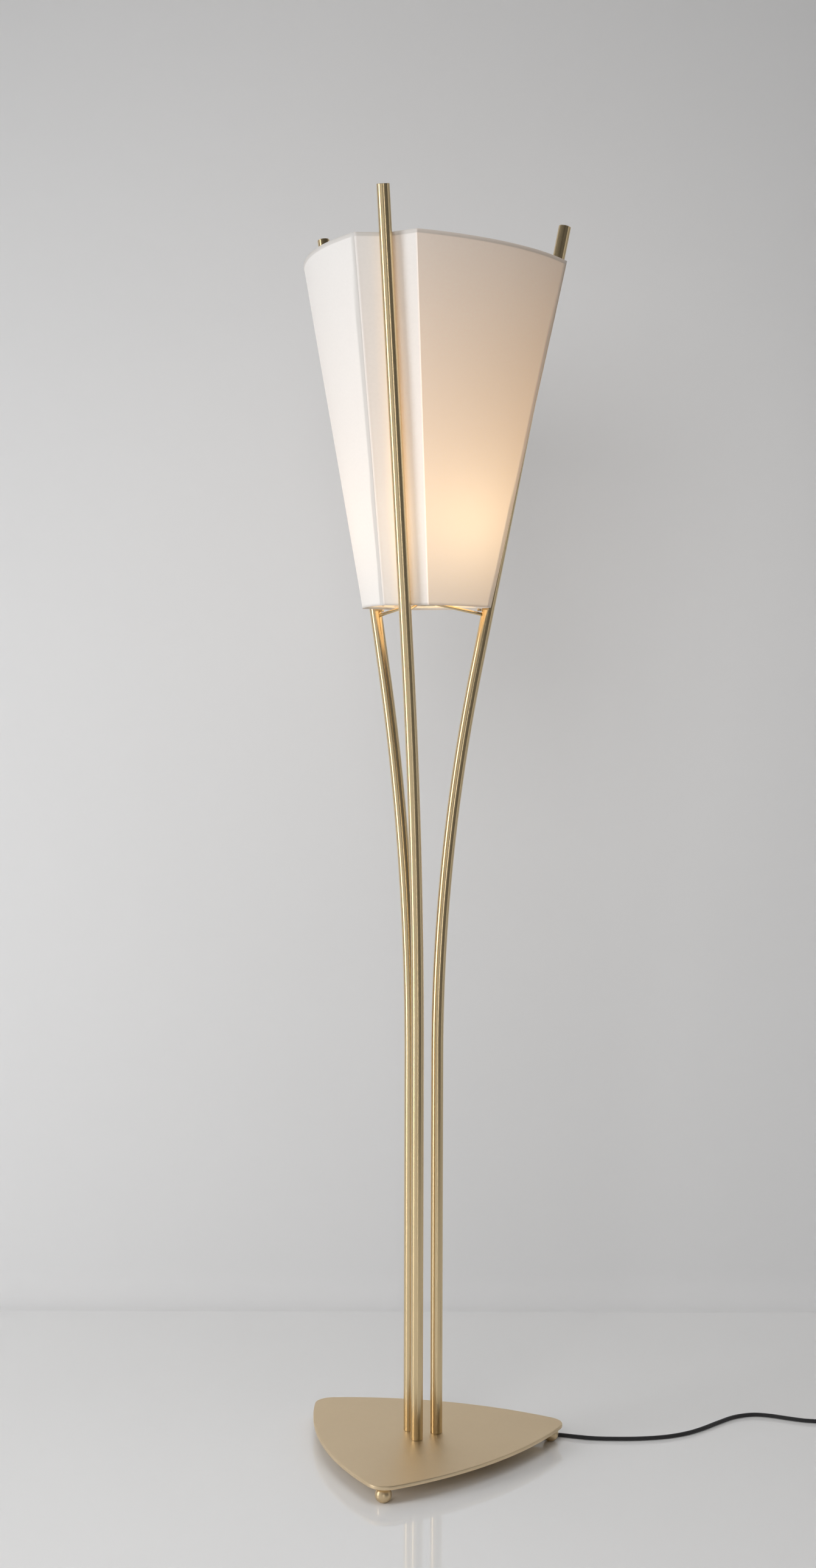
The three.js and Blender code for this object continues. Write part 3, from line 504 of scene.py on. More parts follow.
# light and dark tone, roughness, stretch of the grain along x, y and z, its scale and its bump
metalSettings = {
    "plateBrass": ((0.86, 0.7, 0.475), (0.81, 0.65, 0.435), (0.44, 0.52), (1, 1, 1), 700, 0.03),
    "tubeBrass": ((0.8, 0.63, 0.38), (0.79, 0.62, 0.37), (0.23, 0.25), (0.02, 1, 1), 300, 0.0005, True),
    "rodBrass": ((0.8, 0.63, 0.38), (0.77, 0.6, 0.355), (0.17, 0.22), (1, 1, 0.03), 900, 0.008),
    "ballBrass": ((0.76, 0.6, 0.38), (0.72, 0.56, 0.35), (0.33, 0.4), (1, 1, 6), 400, 0.01),
    "brightBrass": ((0.83, 0.67, 0.4), (0.77, 0.6, 0.35), (0.14, 0.2), (1, 1, 8), 300, 0.02),
    "zincSteel": ((0.62, 0.62, 0.6), (0.48, 0.48, 0.47), (0.25, 0.42), (1, 1, 1), 500),
    "capMetal": ((0.8, 0.8, 0.79), (0.68, 0.68, 0.67), (0.2, 0.34), (1, 1, 5), 400),
    "pinMetal": ((0.8, 0.79, 0.76), (0.7, 0.69, 0.66), (0.12, 0.22), (1, 1, 1), 500),
}
# light and dark tone, and roughness
plasticSettings = {
    "blackPlastic": ((0.022, 0.022, 0.023), (0.012, 0.012, 0.013), (0.3, 0.48)),
    "holderPlastic": ((0.78, 0.75, 0.68), (0.7, 0.67, 0.6), (0.28, 0.4)),
    "wireCover": ((0.02, 0.02, 0.02), (0.012, 0.012, 0.012), (0.3, 0.45)),
    "wirePaint": ((0.8, 0.79, 0.76), (0.72, 0.71, 0.68), (0.35, 0.5)),
}
(plateBrass, tubeBrass, rodBrass, ballBrass, brightBrass, zincSteel, capMetal,
 pinMetal) = (metalMaterial(name, *values) for name, values in metalSettings.items())
blackPlastic, holderPlastic, wireCover, wirePaint = (
    plasticMaterial(name, *values) for name, values in plasticSettings.items())
print("metals and plastics made")


cordSettings = {
    "diameter": 0.0052,
    "switchAt": (0.545, 0.18),
    "coilAt": (0.562, 0.06),
    "coilOuter": 0.0364,
    "coilTurns": 7,
    "coilLow": 0.0036,
    "plugAt": (0.534, 0.001),
    "plugTurn": -84.0,
}
clampSettings = {
    "at": (0.078, 0.058, 0.011),
    "turn": 37.4,
    "sleeveStart": 0.0058,
    "sleeveLength": 0.026,
    "sleeveEnd": 0.0318,
}

# places are measured from the lamp's axis, as the cord lies on the floor
runPoints = [
    (0.1145, 0.0856, 0.009), (0.126, 0.0932, 0.0052), (0.138, 0.0996, 0.003), (0.151, 0.1048, 0.0027),
    (0.166, 0.1072, 0.0027), (0.186, 0.1066, 0.0027), (0.212, 0.107, 0.0027), (0.241, 0.113, 0.0027),
    (0.274, 0.1235, 0.0027), (0.306, 0.14, 0.0027), (0.33, 0.161, 0.0027), (0.347, 0.184, 0.0027),
    (0.364, 0.213, 0.0027), (0.384, 0.243, 0.0027), (0.407, 0.259, 0.0027), (0.43, 0.261, 0.0027),
    (0.454, 0.257, 0.0027), (0.478, 0.254, 0.0027), (0.496, 0.2555, 0.0027), (0.514, 0.2575, 0.0027),
    (0.531, 0.252, 0.0027), (0.542, 0.239, 0.0036), (0.545, 0.226, 0.0056), (0.545, 0.215, 0.0065),
    (0.545, 0.195, 0.0065), (0.545, 0.165, 0.0065), (0.545, 0.145, 0.0065), (0.5435, 0.132, 0.0054),
    (0.537, 0.117, 0.0038), (0.529, 0.1, 0.0037), (0.5245, 0.084, 0.0037),
]
endPoints = [
    (0.5222, 0.042, 0.0088), (0.522, 0.033, 0.0076), (0.526, 0.022, 0.0066), (0.5332, 0.008, 0.0065),
    (0.534, 0.001, 0.0065),
]


# A spiral inwards in the lower layer and outwards again in the upper: r falls by a diameter each turn.
def coilPoints(s):
    turns = s["coilTurns"]
    t = np.linspace(0, turns, turns * 20 + 1)[1:-1]
    fromMiddle = np.abs(t - turns / 2)
    r = s["coilOuter"] - s["diameter"] * (turns / 2 - fromMiddle)
    lift = np.clip((t - turns / 2) / 0.17 + 0.5, 0, 1)
    z = s["coilLow"] + s["diameter"] * lift * lift * (3 - 2 * lift)
    a = np.pi + 2 * np.pi * t
    return np.stack([s["coilAt"][0] + r * np.cos(a), s["coilAt"][1] + r * np.sin(a), z], 1)


# From a little way inside the clamp's sleeve to the plug, as one smooth curve.
def cordLine(s, clamp, hidden=0.004):
    turn = math.radians(clamp["turn"])
    away = np.array([math.cos(turn), math.sin(turn), 0])
    start = np.array(clamp["at"]) + away * clamp["sleeveEnd"]
    points = np.vstack([start - away * hidden, start, runPoints, coilPoints(s), endPoints])
    return smoothPath(points, 6) + np.array(fromAxis((0, 0))), start + np.array(fromAxis((0, 0)))


# Braided black textile: diagonal plaits from the map along and round the cord.
def makeCordCloth():
    material, tree, shader = emptyMaterial("cordCloth")
    uv = clothMap(tree)
    turned = addNode(tree, "ShaderNodeMapping")
    turned.inputs["Rotation"].default_value = (0, 0, math.radians(45))
    tree.links.new(uv, turned.inputs["Vector"])
    weave = placeGroup(tree, woven, turned.outputs["Vector"], Threads=1100.0, Unevenness=0.25)
    tree.links.new(blendColours(tree, weave.outputs["Height"], (0.006, 0.006, 0.007), (0.035, 0.034, 0.036)),
                   shader.inputs["Base Color"])
    shader.inputs["Roughness"].default_value = 0.7
    shader.inputs["Sheen Weight"].default_value = 0.15
    bumped(tree, shader, weave.outputs["Height"], 0.6, 0.0003)
    return material


cordCloth = makeCordCloth()


def cordPiece(name, line, radius, spacing, sides=16):
    path, run = evenPath(line, spacing)
    rings = sweptRings(path, radius, sides)
    around = np.linspace(0, 2 * np.pi * radius, sides, endpoint=False)
    uv = np.stack(np.broadcast_arrays(around[None, :], run[:, None]), 2)
    return loftedSolid(name, rings, uv=uv), path, float(run[-1])


line, cordExit = cordLine(cordSettings, clampSettings)
flex, flexPath, flexLength = cordPiece("flex", line, cordSettings["diameter"] / 2, 0.0035)
finishPiece(flex, cordCloth, "stand", "cord_textile", "cord_run", "cord_tail", "cord_coil", "cord_end")
print("cord made, length", round(flexLength, 3))


# The sleeve where the cord leaves the clamp: a tapered sleeve with soft grooves round it,
# r = taper - depth (1 - cos(2 pi x / pitch)) / 2.
def sleeveRings(s, bore=0.0029, thick=0.0046, thin=0.0035, depth=0.0003, pitch=0.0033):
    x = np.linspace(0, s["sleeveLength"], 90)
    taper = thick + (thin - thick) * np.clip((x - 0.004) / (s["sleeveLength"] - 0.004), 0, 1)
    grooved = np.clip(np.minimum(x - 0.004, s["sleeveLength"] - 0.002 - x) / 0.001, 0, 1)
    r = taper - depth * grooved * (1 - np.cos(2 * np.pi * (x - 0.004) / pitch)) / 2
    ends = np.clip(1 - np.minimum(x, s["sleeveLength"] - x) / 0.0006, 0, 1)
    r = r - 0.0004 * ends**2
    profile = np.concatenate([np.stack([r, x], 1), [(bore, s["sleeveLength"]), (bore, 0.0)]])
    along = turnedRings(profile, 32)[..., [2, 0, 1]] + np.array([s["sleeveStart"], 0, s["at"][2]])
    return placed(along, s["turn"], fromAxis(s["at"]))


sleeve = loftedSolid("cord_sleeve", sleeveRings(clampSettings), closeRows=True)
finishPiece(sleeve, blackPlastic, "stand", "black_plastic", "strain_relief")

switchSettings = {
    "length": 0.07,
    "width": 0.03,
    "corner": 0.01,
    "split": 0.00665,
    "top": 0.02,
    "edge": 0.003,
    "hole": 0.0093,
    "cavityTop": 0.016,
    "buttonLow": 0.0127,
    "buttonTop": 0.0235,
}


# The switch's cover as one skin: up the outside, over the rounded edge, in to the button's hole, down it,
# and back under the roof and down the inside walls.
def coverRings(s):
    outer = roundedBox(s["length"], s["width"], s["corner"])
    inner = roundedBox(0.042, 0.0226, 0.002)
    hole = unit(outer)
    rings = [levelRing(insetLoop(outer, 0.0004), s["split"]), levelRing(outer, s["split"] + 0.0004)]
    for q in np.linspace(0, np.pi / 2, 8):
        inset = s["edge"] * (1 - math.cos(q))
        rings.append(levelRing(insetLoop(outer, inset), s["top"] - s["edge"] * (1 - math.sin(q))))
    last = rings[-1][:, :2]
    for share in (0.35, 0.7, 1.0):
        rings.append(levelRing(last + (hole * (s["hole"] + 0.0006) - last) * share, s["top"]))
    rings.append(levelRing(hole * (s["hole"] + 0.0002), s["top"] - 0.0002))
    rings.append(levelRing(hole * s["hole"], s["top"] - 0.0007))
    rings.append(levelRing(hole * s["hole"], s["cavityTop"]))
    rings.append(levelRing(inner, s["cavityTop"]))
    rings.append(levelRing(inner, s["split"]))
    return np.array(rings)


# The button: a flange under the cover, a drum, a rounded rim and a shallow dish for the foot.
def buttonProfile(s):
    q = np.linspace(0, np.pi / 2, 6)
    rim = [(0.0078 + 0.0012 * math.cos(a), s["buttonTop"] - 0.0012 * (1 - math.sin(a))) for a in q]
    dish = [(r, s["buttonTop"] - 0.0006 * (1 - (r / 0.0076) ** 2)) for r in (0.0074, 0.0062, 0.0045, 0.0025)]
    flange = [(0.006, s["buttonLow"]), (0.0102, s["buttonLow"]), (0.0105, s["buttonLow"] + 0.0003),
              (0.0105, 0.0157), (0.009, 0.0157)]
    return [*flange, *rim, *dish]


switchPlace = fromAxis(cordSettings["switchAt"])
cover = loftedSolid("switch_top", placed(coverRings(switchSettings), 90.0, switchPlace), closeRows=True)
finishPiece(cover, blackPlastic, "stand", "black_plastic", "switch_cover")
button = loftedSolid("press_button", placed(turnedRings(buttonProfile(switchSettings)), 0.0, switchPlace))
finishPiece(button, blackPlastic, "button", "black_plastic", "switch_button")

plugSettings = {
    "outline": [(0, -0.005), (0.01, -0.0065), (0.02, -0.0125), (0.036, -0.0125), (0.036, 0.0125),
                (0.02, 0.0125), (0.01, 0.0065), (0, 0.005)],
    "soften": 0.004,
    "thickness": 0.013,
    "edge": 0.003,
    "pinStart": 0.0363,
    "pinEnd": 0.0553,
    "pinSpread": 0.0186,
    "pinRadius": 0.002,
}
plugLoop = roundedProfile(plugSettings["outline"], plugSettings["soften"], 7)
plugPlace = fromAxis(cordSettings["plugAt"])
plugSkin = slabRings(partial(insetLoop, plugLoop), 0.0, plugSettings["thickness"], plugSettings["edge"])
plug = loftedSolid("plug", placed(plugSkin, cordSettings["plugTurn"], plugPlace))
finishPiece(plug, blackPlastic, "stand", "black_plastic", "plug_body")
for number, side in ((1, -1), (2, 1)):
    y = side * plugSettings["pinSpread"] / 2
    z = plugSettings["thickness"] / 2
    ends = [(plugSettings["pinStart"], y, z), (plugSettings["pinEnd"], y, z)]
    pinSkin = placed(rodRings(*ends, plugSettings["pinRadius"], 0.001), cordSettings["plugTurn"], plugPlace)
    plugPin = loftedSolid(f"mains_pin_{number}", pinSkin)
    finishPiece(plugPin, pinMetal, "stand", "pin_metal", f"plug_pin_{number}")


# A flat band that goes once round the coil's bundle, upright across it.
def tieRings(low, high, wall=0.0006, soft=0.0002):
    loop = roundedBox(high.x - low.x, high.z - low.z, 0.0018, 8)
    middle = (low + high) / 2
    half = (high.y - low.y) / 2
    section = [(0, half - soft), (soft, half), (wall - soft, half), (wall, half - soft), (wall, soft - half),
               (wall - soft, -half), (soft, -half), (0, soft - half)]
    rows = [levelRing(insetLoop(loop, inset), y)[:, [0, 2, 1]] for inset, y in section]
    return np.stack(rows, 1) + np.array(middle)


tie = loftedSolid("tie_band", tieRings(*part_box("coil_tie")), closeRows=True)
finishPiece(tie, blackPlastic, "stand", "black_plastic", "coil_tie")
print("switch, plug and tie made")

leadPoints = [
    (0, -0.021, 0.06), (0, -0.021, 0.04), (0, -0.021, 0.022), (0.0004, -0.021, 0.015),
    (0.003, -0.021, 0.009), (0.011, -0.021, 0.0048), (0.026, -0.017, 0.0044), (0.042, 0.002, 0.0055),
    (0.054, 0.022, 0.008), (0.063, 0.04, 0.0104), (0.06886, 0.05102, 0.011), (0.0778, 0.0578, 0.011),
]
leadLine = smoothPath(leadPoints, 8) + np.array([0, axisY, 0])
lead = cordPiece("under_lead", leadLine, cordSettings["diameter"] / 2, 0.003)[0]
finishPiece(lead, cordCloth, "stand", "cord_textile", "base_lead")


shadeSettings = {
    "low": 1.110,
    "high": 1.557,
    "rimLow": {"mouthHalf": 0.0295, "mouthAt": 0.083, "valleyAt": 0.076, "bow": 0.007},
    "rimHigh": {"mouthHalf": 0.0395, "mouthAt": 0.181, "valleyAt": 0.168, "bow": 0.025},
    "thickness": 0.0011,
    "topHem": 0.0052,
    "lowHem": 0.0036,
    "foldWidth": 0.0006,  # over which the cloth steps up at a hem
    "seamLap": 0.0095,
    "lapWidth": 0.0008,  # and at a lapped seam
    "ease": 0.0004,
    "ripple": 0.00018,
    "bulbHeight": 1.222,
    "directGlow": 0.36,
    "glowReach": 0.1,
    "glowWidth": 0.045,
    "directTint": (1.0, 0.82, 0.55),
    "scatterGlow": 0.52,
    "scatterTint": (1.0, 0.52, 0.15),
    "scatterFallAbove": 1.05,  # per metre of height
    "scatterFallBelow": 2.5,
    "scatterLeast": 0.1,
    "scatterSoftening": 0.03,
    "lapDims": 0.5,  # how much less light comes through doubled cloth
    "hemDims": 0.5,
    "panelGlow": (1.0, 1.0, 0.3),  # shares of the glow: right, rear and left panel
    "flankGlow": (0.42, 0.8, 0.5),  # and the flanks of the groove before each one
    "valleyGlow": 0.45,  # more at the groove's bottom, which is nearest to the bulb
    "panelSteps": 56,
    "flankSteps": 10,
    "heightSteps": 110,
}


def rimValue(s, key, z):
    share = (z - s["low"]) / (s["high"] - s["low"])
    return s["rimLow"][key] + (s["rimHigh"][key] - s["rimLow"][key]) * share


# One cloth piece at height z, from a panel's edge into a groove, out again and along the next panel's
# arc. The groove is a V of two straight flanks, the panel an arc bowed out beyond its chord.
def fabricLine(s, z, index, inset=0.0):
    half, mouth = rimValue(s, "mouthHalf", z), rimValue(s, "mouthAt", z) - inset
    valley, bow = rimValue(s, "valleyAt", z) - inset, rimValue(s, "bow", z)
    cornerR = np.hypot(half, mouth)
    cornerTurn = np.arctan2(half, mouth)
    halfChord = cornerR * np.sin(np.pi / 3 - cornerTurn)
    panelR = (halfChord**2 + bow**2) / (2 * bow)
    panelCentre = cornerR * np.cos(np.pi / 3 - cornerTurn) + bow - panelR
    span = np.arcsin(halfChord / panelR)
    groove = math.radians(legTurns["front"] + 120 * index)
    facing = groove + np.pi / 3
    a = facing + np.linspace(-1, 1, s["panelSteps"] + 1)[None, :] * span[:, None]
    arc = np.stack([panelCentre[:, None] * math.cos(facing) + panelR[:, None] * np.cos(a),
                    panelCentre[:, None] * math.sin(facing) + panelR[:, None] * np.sin(a)], 2)
    bottom = np.stack([valley * math.cos(groove), valley * math.sin(groove)], 1)[:, None, :]
    edge = groove - cornerTurn
    before = np.stack([cornerR * np.cos(edge), cornerR * np.sin(edge)], 1)[:, None, :]
    t = np.linspace(0, 1, s["flankSteps"], endpoint=False)[None, :, None]
    t = t * t * (3 - 2 * t) * 0.35 + t * 0.65
    return np.concatenate([before + (bottom - before) * t, bottom + (arc[:, :1] - bottom) * t, arc], 1)


# Warm light that comes through the cloth, as red, green and blue. The bulb's own part is cosine times reach
# squared over (distance squared + width squared); the scattered part falls off evenly with height.
def glowAt(s, points, normals, share):
    away = points - np.array([0.0, 0.0, s["bulbHeight"]])
    distance = np.linalg.norm(away, axis=-1)
    cosine = np.clip(np.abs((away * normals).sum(-1)) / distance, 0, 1)
    direct = s["directGlow"] * cosine * s["glowReach"] ** 2 / (distance**2 + s["glowWidth"] ** 2)
    rise = points[..., 2] - s["bulbHeight"]
    above = s["scatterFallAbove"] * softened(rise, s["scatterSoftening"])
    below = s["scatterFallBelow"] * softened(-rise, s["scatterSoftening"])
    scattered = s["scatterGlow"] - above - below
    scattered = s["scatterLeast"] + softened(scattered - s["scatterLeast"], s["scatterSoftening"])
    colour = direct[..., None] * np.array(s["directTint"])
    colour = colour + scattered[..., None] * np.array(s["scatterTint"])
    return colour * share[..., None]


# A value held above zero by a rounded knee: (v + sqrt(v squared + width squared)) / 2.
def softened(value, width):
    return (value + np.sqrt(value**2 + width**2)) / 2


# Lengths run along one axis of a grid of points, from its first row or column.
def runAlong(points, axis):
    steps = np.linalg.norm(np.diff(points, axis=axis), axis=2)
    return np.concatenate([np.zeros_like(steps.take([0], axis)), np.cumsum(steps, axis)], axis)


# One value or colour for each vertex, under a name that the cloth's material reads.
def storeOnPoints(piece, name, kind, field, values):
    layer = piece.data.attributes.new(name, kind, "POINT")
    layer.data.foreach_set(field, values.astype(np.float32).ravel())


# The cloth stands off by ease except where it is doubled, and ripples by ripple sin(up) sin(across).
def makeFabricPiece(s, index, side):
    lowFold, highFold = s["low"] + s["lowHem"], s["high"] - s["topHem"]
    hemEdges = [lowFold, lowFold + s["foldWidth"], highFold - s["foldWidth"], highFold]
    z = np.unique(np.concatenate([np.linspace(s["low"], s["high"], s["heightSteps"]), hemEdges]))
    flat = fabricLine(s, z, index)
    points = np.concatenate([flat, np.broadcast_to(z[:, None, None], (*flat.shape[:2], 1))], 2)
    du, dv = np.gradient(points, axis=1), np.gradient(points, axis=0)
    normals = unit(np.cross(du, dv))
    across, up = runAlong(points, 1), runAlong(points, 0)
    toEnd = across[:, -1:] - across
    inLap = np.clip((s["seamLap"] - toEnd) / s["lapWidth"], 0, 1)
    inHem = np.clip(np.maximum(z - highFold, lowFold - z) / s["foldWidth"], 0, 1)[:, None]
    doubled = np.maximum(inLap, np.broadcast_to(inHem, inLap.shape))
    raised = np.maximum(doubled, np.clip(1 - across / 0.002, 0, 1))  # the flank's edge is level with the lap
    ripple = s["ripple"] * np.sin(up * 19 + index) * np.sin(across * 27 + 2 * index)
    points = points - normals * (s["ease"] * (1 - raised))[..., None] + normals * ripple[..., None]
    column = np.arange(points.shape[1]) / s["flankSteps"]  # 1 at the groove's bottom, 2 at the panel's start
    flankShare = s["flankGlow"][index] + s["valleyGlow"] * np.clip(1 - np.abs(column - 1) / 0.6, 0, 1)
    share = np.where(column >= 2, s["panelGlow"][index], flankShare)
    glow = glowAt(s, points, normals, share * (1 - s["lapDims"] * inLap) * (1 - s["hemDims"] * inHem))
    rows, cols = points.shape[:2]
    world = points + np.array([0, axisY, 0])
    faces = quadFaces(rows, cols, False, False).tolist()
    piece = meshObject(f"fabric_{side}", world, faces, np.stack([across, up], 2), 24.0)
    storeOnPoints(piece, "doubled", "FLOAT", "value", doubled)
    opaque = np.concatenate([glow, np.ones((rows, cols, 1))], 2)
    storeOnPoints(piece, "glow", "FLOAT_COLOR", "color", opaque)
    wall = piece.modifiers.new("wall", "SOLIDIFY")
    wall.thickness = s["thickness"]
    wall.offset = -1.0
    return piece


# White laminated cotton: plain weave, faint slubs, painted shade that greys the doubled cloth where less of
# the bulb's light comes through, and the lamp's warm light let through.
def makeShadeCloth():
    material, tree, shader = emptyMaterial("shadeCloth")
    uv = clothMap(tree)
    weave = placeGroup(tree, woven, uv, Threads=1400.0, Unevenness=0.35)
    doubled = addNode(tree, "ShaderNodeAttribute", attribute_name="doubled").outputs["Fac"]
    glow = addNode(tree, "ShaderNodeAttribute", attribute_name="glow").outputs["Color"]
    single = blendColours(tree, weave.outputs["Tone"], (0.79, 0.788, 0.782), (0.83, 0.828, 0.822))
    # painted shade: the hems and seam laps, where the cloth is doubled, are greyed for the bulb's light that
    # the doubled cloth and rim wires hold back
    tone = blendColours(tree, doubled, single, (0.66, 0.645, 0.625))
    tree.links.new(tone, shader.inputs["Base Color"])
    shader.inputs["Roughness"].default_value = 0.85
    shader.inputs["Sheen Weight"].default_value = 0.06
    threads = spread(tree, weave.outputs["Tone"], 0.94, 1.06)
    lit = addNode(tree, "ShaderNodeVectorMath", operation="SCALE")
    tree.links.new(glow, lit.inputs[0])
    tree.links.new(threads, lit.inputs["Scale"])
    tree.links.new(lit.outputs[0], shader.inputs["Emission Color"])
    shader.inputs["Emission Strength"].default_value = 1.0
    bumped(tree, shader, weave.outputs["Height"], 0.25, 0.0002)
    return material


shadeCloth = makeShadeCloth()
for index, side in enumerate(["right", "rear", "left"]):
    cloth = makeFabricPiece(shadeSettings, index, side)
    finishPiece(cloth, shadeCloth, "shade", "shade_fabric", f"shade_panel_{side}")
print("shade cloth made")


wireSettings = {"radius": 0.0015, "inset": 0.003, "low": 1.1125, "high": 1.5545}
ribSettings = {"radius": 0.0015, "rounding": 0.0005, "inset": 0.0036, "low": 1.1145, "high": 1.5525}


# The shade's whole outline at one height, moved inwards.
def outlineLoop(s, z, inset):
    loops = [fabricLine(s, np.array([z]), k)[0, :-1] for k in range(3)]
    return insetLoop(np.concatenate(loops), inset)


# A round wire carried round the closed outline: its section stands square to the line in plan.
def loopWire(name, shade, s, end, sides=10):
    line = outlineLoop(shade, s[end], s["inset"])
    outward = levelRing(outwards(line), 0)
    radii = np.full(len(line), s["radius"])
    rings = circles(levelRing(line, s[end]), outward, np.array([0, 0, 1]), radii, sides)
    return loftedSolid(name, lamped(rings), closeRows=True)


for end in ("low", "high"):
    wire = loopWire(f"rim_wire_{end}", shadeSettings, wireSettings, end)
    finishPiece(wire, wirePaint, "shade", "shade_wire", f"shade_wire_{end}")


# A straight wire behind a groove's bottom.
def ribRings(shade, s):
    low, high = ((rimValue(shade, "valleyAt", s[end]) - s["inset"], 0, s[end]) for end in ("low", "high"))
    return rodRings(low, high, s["radius"], s["rounding"], 14)


for side, turn in legTurns.items():
    rib = loftedSolid(f"rib_{side}", lamped(ribRings(shadeSettings, ribSettings), turn))
    finishPiece(rib, wirePaint, "shade", "shade_wire", f"shade_rib_{side}")
print("shade wires made")


tubeSettings = {
    "radius": 0.008,
    "bore": 0.0068,
    "offset": 0.021,
    "bottom": 0.0253,
    "bendStart": 0.526,
    "bendRadius": 2.51,
    "tilt": math.radians(11.62),
    "top": 1.61,
    "sides": 40,
}


# Upright, then an arc of the bend radius, then straight at the tilt.
def tubePath(s, low, high, count=90):
    bendTop = s["bendStart"] + s["bendRadius"] * math.sin(s["tilt"])
    upright = s["bendStart"] - low
    bend = s["bendRadius"] * s["tilt"]
    length = upright + bend + (high - bendTop) / math.cos(s["tilt"])
    along = np.linspace(0, length, count)
    turn = np.clip((along - upright) / s["bendRadius"], 0, s["tilt"])
    past = np.clip(along - upright - bend, 0, None)
    x = s["offset"] + s["bendRadius"] * (1 - np.cos(turn)) + past * math.sin(s["tilt"])
    z = low + np.clip(along, 0, upright) + s["bendRadius"] * np.sin(turn) + past * math.cos(s["tilt"])
    return np.stack([x, np.zeros_like(x), z], 1)


# Outside from bottom to top, over a small rounded lip, and down the bore, as one closed skin.
def tubeRings(s):
    path = tubePath(s, s["bottom"], s["top"])
    direction = unit(path[-1] - path[-2])
    lip = 0.0003
    edge = np.array([0.0, lip * 0.6, lip])
    outer = np.vstack([path[:-1], path[-1] - direction * edge[::-1][:, None]])
    rounding = np.concatenate([np.zeros(len(path)), [0.4 * lip, lip]])
    a = turnAngles(s["sides"])
    centre = np.vstack([outer, outer[::-1]])
    radii = np.concatenate([s["radius"] - rounding, s["bore"] + rounding[::-1]])
    tangent = unit(np.gradient(outer, axis=0))
    tangent = np.vstack([tangent, tangent[::-1]])
    side = np.array([0.0, 1.0, 0.0])
    along = np.concatenate([[0], np.cumsum(np.linalg.norm(np.diff(outer, axis=0), axis=1))])
    along = np.concatenate([along, along[::-1]])
    uv = np.stack(np.broadcast_arrays(along[:, None], s["radius"] * a[None, :]), 2)
    return circles(centre, side, np.cross(side, tangent), radii, s["sides"]), uv


stemRings, stemMap = tubeRings(tubeSettings)
for side, turn in legTurns.items():
    tube = loftedSolid(f"stem_{side}", lamped(stemRings, turn), closeRows=True, uv=stemMap)
    finishPiece(tube, tubeBrass, "stand", "tube_brass", f"tube_{side}")
print("tubes made")


plateSettings = {
    "top": 0.025,
    "thickness": 0.005,
    "cornerOffset": 0.17,
    "cornerR": 0.025,
    "sideR": 0.505,
    "edge": 0.0011,
}


# Corner arcs and long side arcs that are tangent to them, all moved inwards by one distance.
def plateLoop(s, inset, perArc=28):
    cornerR, sideR = s["cornerR"] - inset, s["sideR"] - inset
    span = math.asin(s["cornerOffset"] * math.sqrt(3) / 2 / (sideR - cornerR))
    sideCentre = s["cornerOffset"] / 2 - (sideR - cornerR) * math.cos(span)
    t = np.linspace(-1, 1, perArc, endpoint=False)
    out = []
    for turn in legTurns.values():
        corner = math.radians(turn)
        side = corner + np.pi / 3
        a = corner + t * (np.pi / 3 - span)
        b = side + t * span
        out.append(np.stack([s["cornerOffset"] * math.cos(corner) + cornerR * np.cos(a),
                             s["cornerOffset"] * math.sin(corner) + cornerR * np.sin(a)], 1))
        out.append(np.stack([sideCentre * math.cos(side) + sideR * np.cos(b),
                             sideCentre * math.sin(side) + sideR * np.sin(b)], 1))
    return np.concatenate(out)


plateLow = plateSettings["top"] - plateSettings["thickness"]
plateLoopAt = partial(plateLoop, plateSettings)
plateSkin = slabRings(plateLoopAt, plateLow, plateSettings["top"], plateSettings["edge"])
plate = loftedSolid("plate", lamped(plateSkin), sharpDegrees=50.0)
finishPiece(plate, plateBrass, "stand", "plate_brass", "base_plate")


footSettings = {"radius": 0.0105, "offset": 0.18, "centre": 0.0099, "top": 0.0197}


# A ball's outline from its small flat up to the plate's underside.
def footProfile(s):
    low = math.asin(-s["centre"] / s["radius"])
    high = math.asin((s["top"] - s["centre"]) / s["radius"])
    a = np.linspace(low, high, 26)
    return np.stack([s["radius"] * np.cos(a), s["centre"] + s["radius"] * np.sin(a)], 1)


for side, turn in legTurns.items():
    rings = lamped(turnedRings(footProfile(footSettings)), turn, (footSettings["offset"], 0, 0))
    foot = loftedSolid(f"ball_{side}", rings)
    finishPiece(foot, ballBrass, "stand", "ball_brass", f"foot_{side}")
print("plate and feet made")


armSettings = {"radius": 0.0022, "height": 1.101, "hubRadius": 0.0165}


def armEnds(s):
    t = tubeSettings
    start = np.array([t["offset"] + t["bendRadius"] * (1 - math.cos(t["tilt"])), 0.0, 0.0])
    bendTop = t["bendStart"] + t["bendRadius"] * math.sin(t["tilt"])
    start[0] += (s["height"] - bendTop) * math.tan(t["tilt"])
    start[2] = s["height"]
    inward = np.array([-math.cos(t["tilt"]), 0.0, math.sin(t["tilt"])])
    reach = (start[0] - s["hubRadius"] - 0.0005) / math.cos(t["tilt"])
    return start + inward * (t["radius"] + 0.0001), start + inward * reach


for side, turn in legTurns.items():
    outer, inner = armEnds(armSettings)
    armSkin = rodRings(outer, inner, armSettings["radius"], 0.0003)
    arm = loftedSolid(f"holder_arm_{side}", lamped(armSkin, turn))
    finishPiece(arm, rodBrass, "stand", "arm_brass", f"arm_{side}")
    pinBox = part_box(f"shade_pin_{side}")
    middle = (pinBox[0] + pinBox[1]) / 2
    reach = math.hypot(middle.x, middle.y - axisY)
    pinRings = rodRings((reach + 0.0027, 0, middle.z), (reach - 0.0027, 0, middle.z), 0.0015, 0.0004, 18)
    pin = loftedSolid(f"rim_pin_{side}", lamped(pinRings, turn))
    finishPiece(pin, brightBrass, "stand", "fitting_brass", f"shade_pin_{side}")

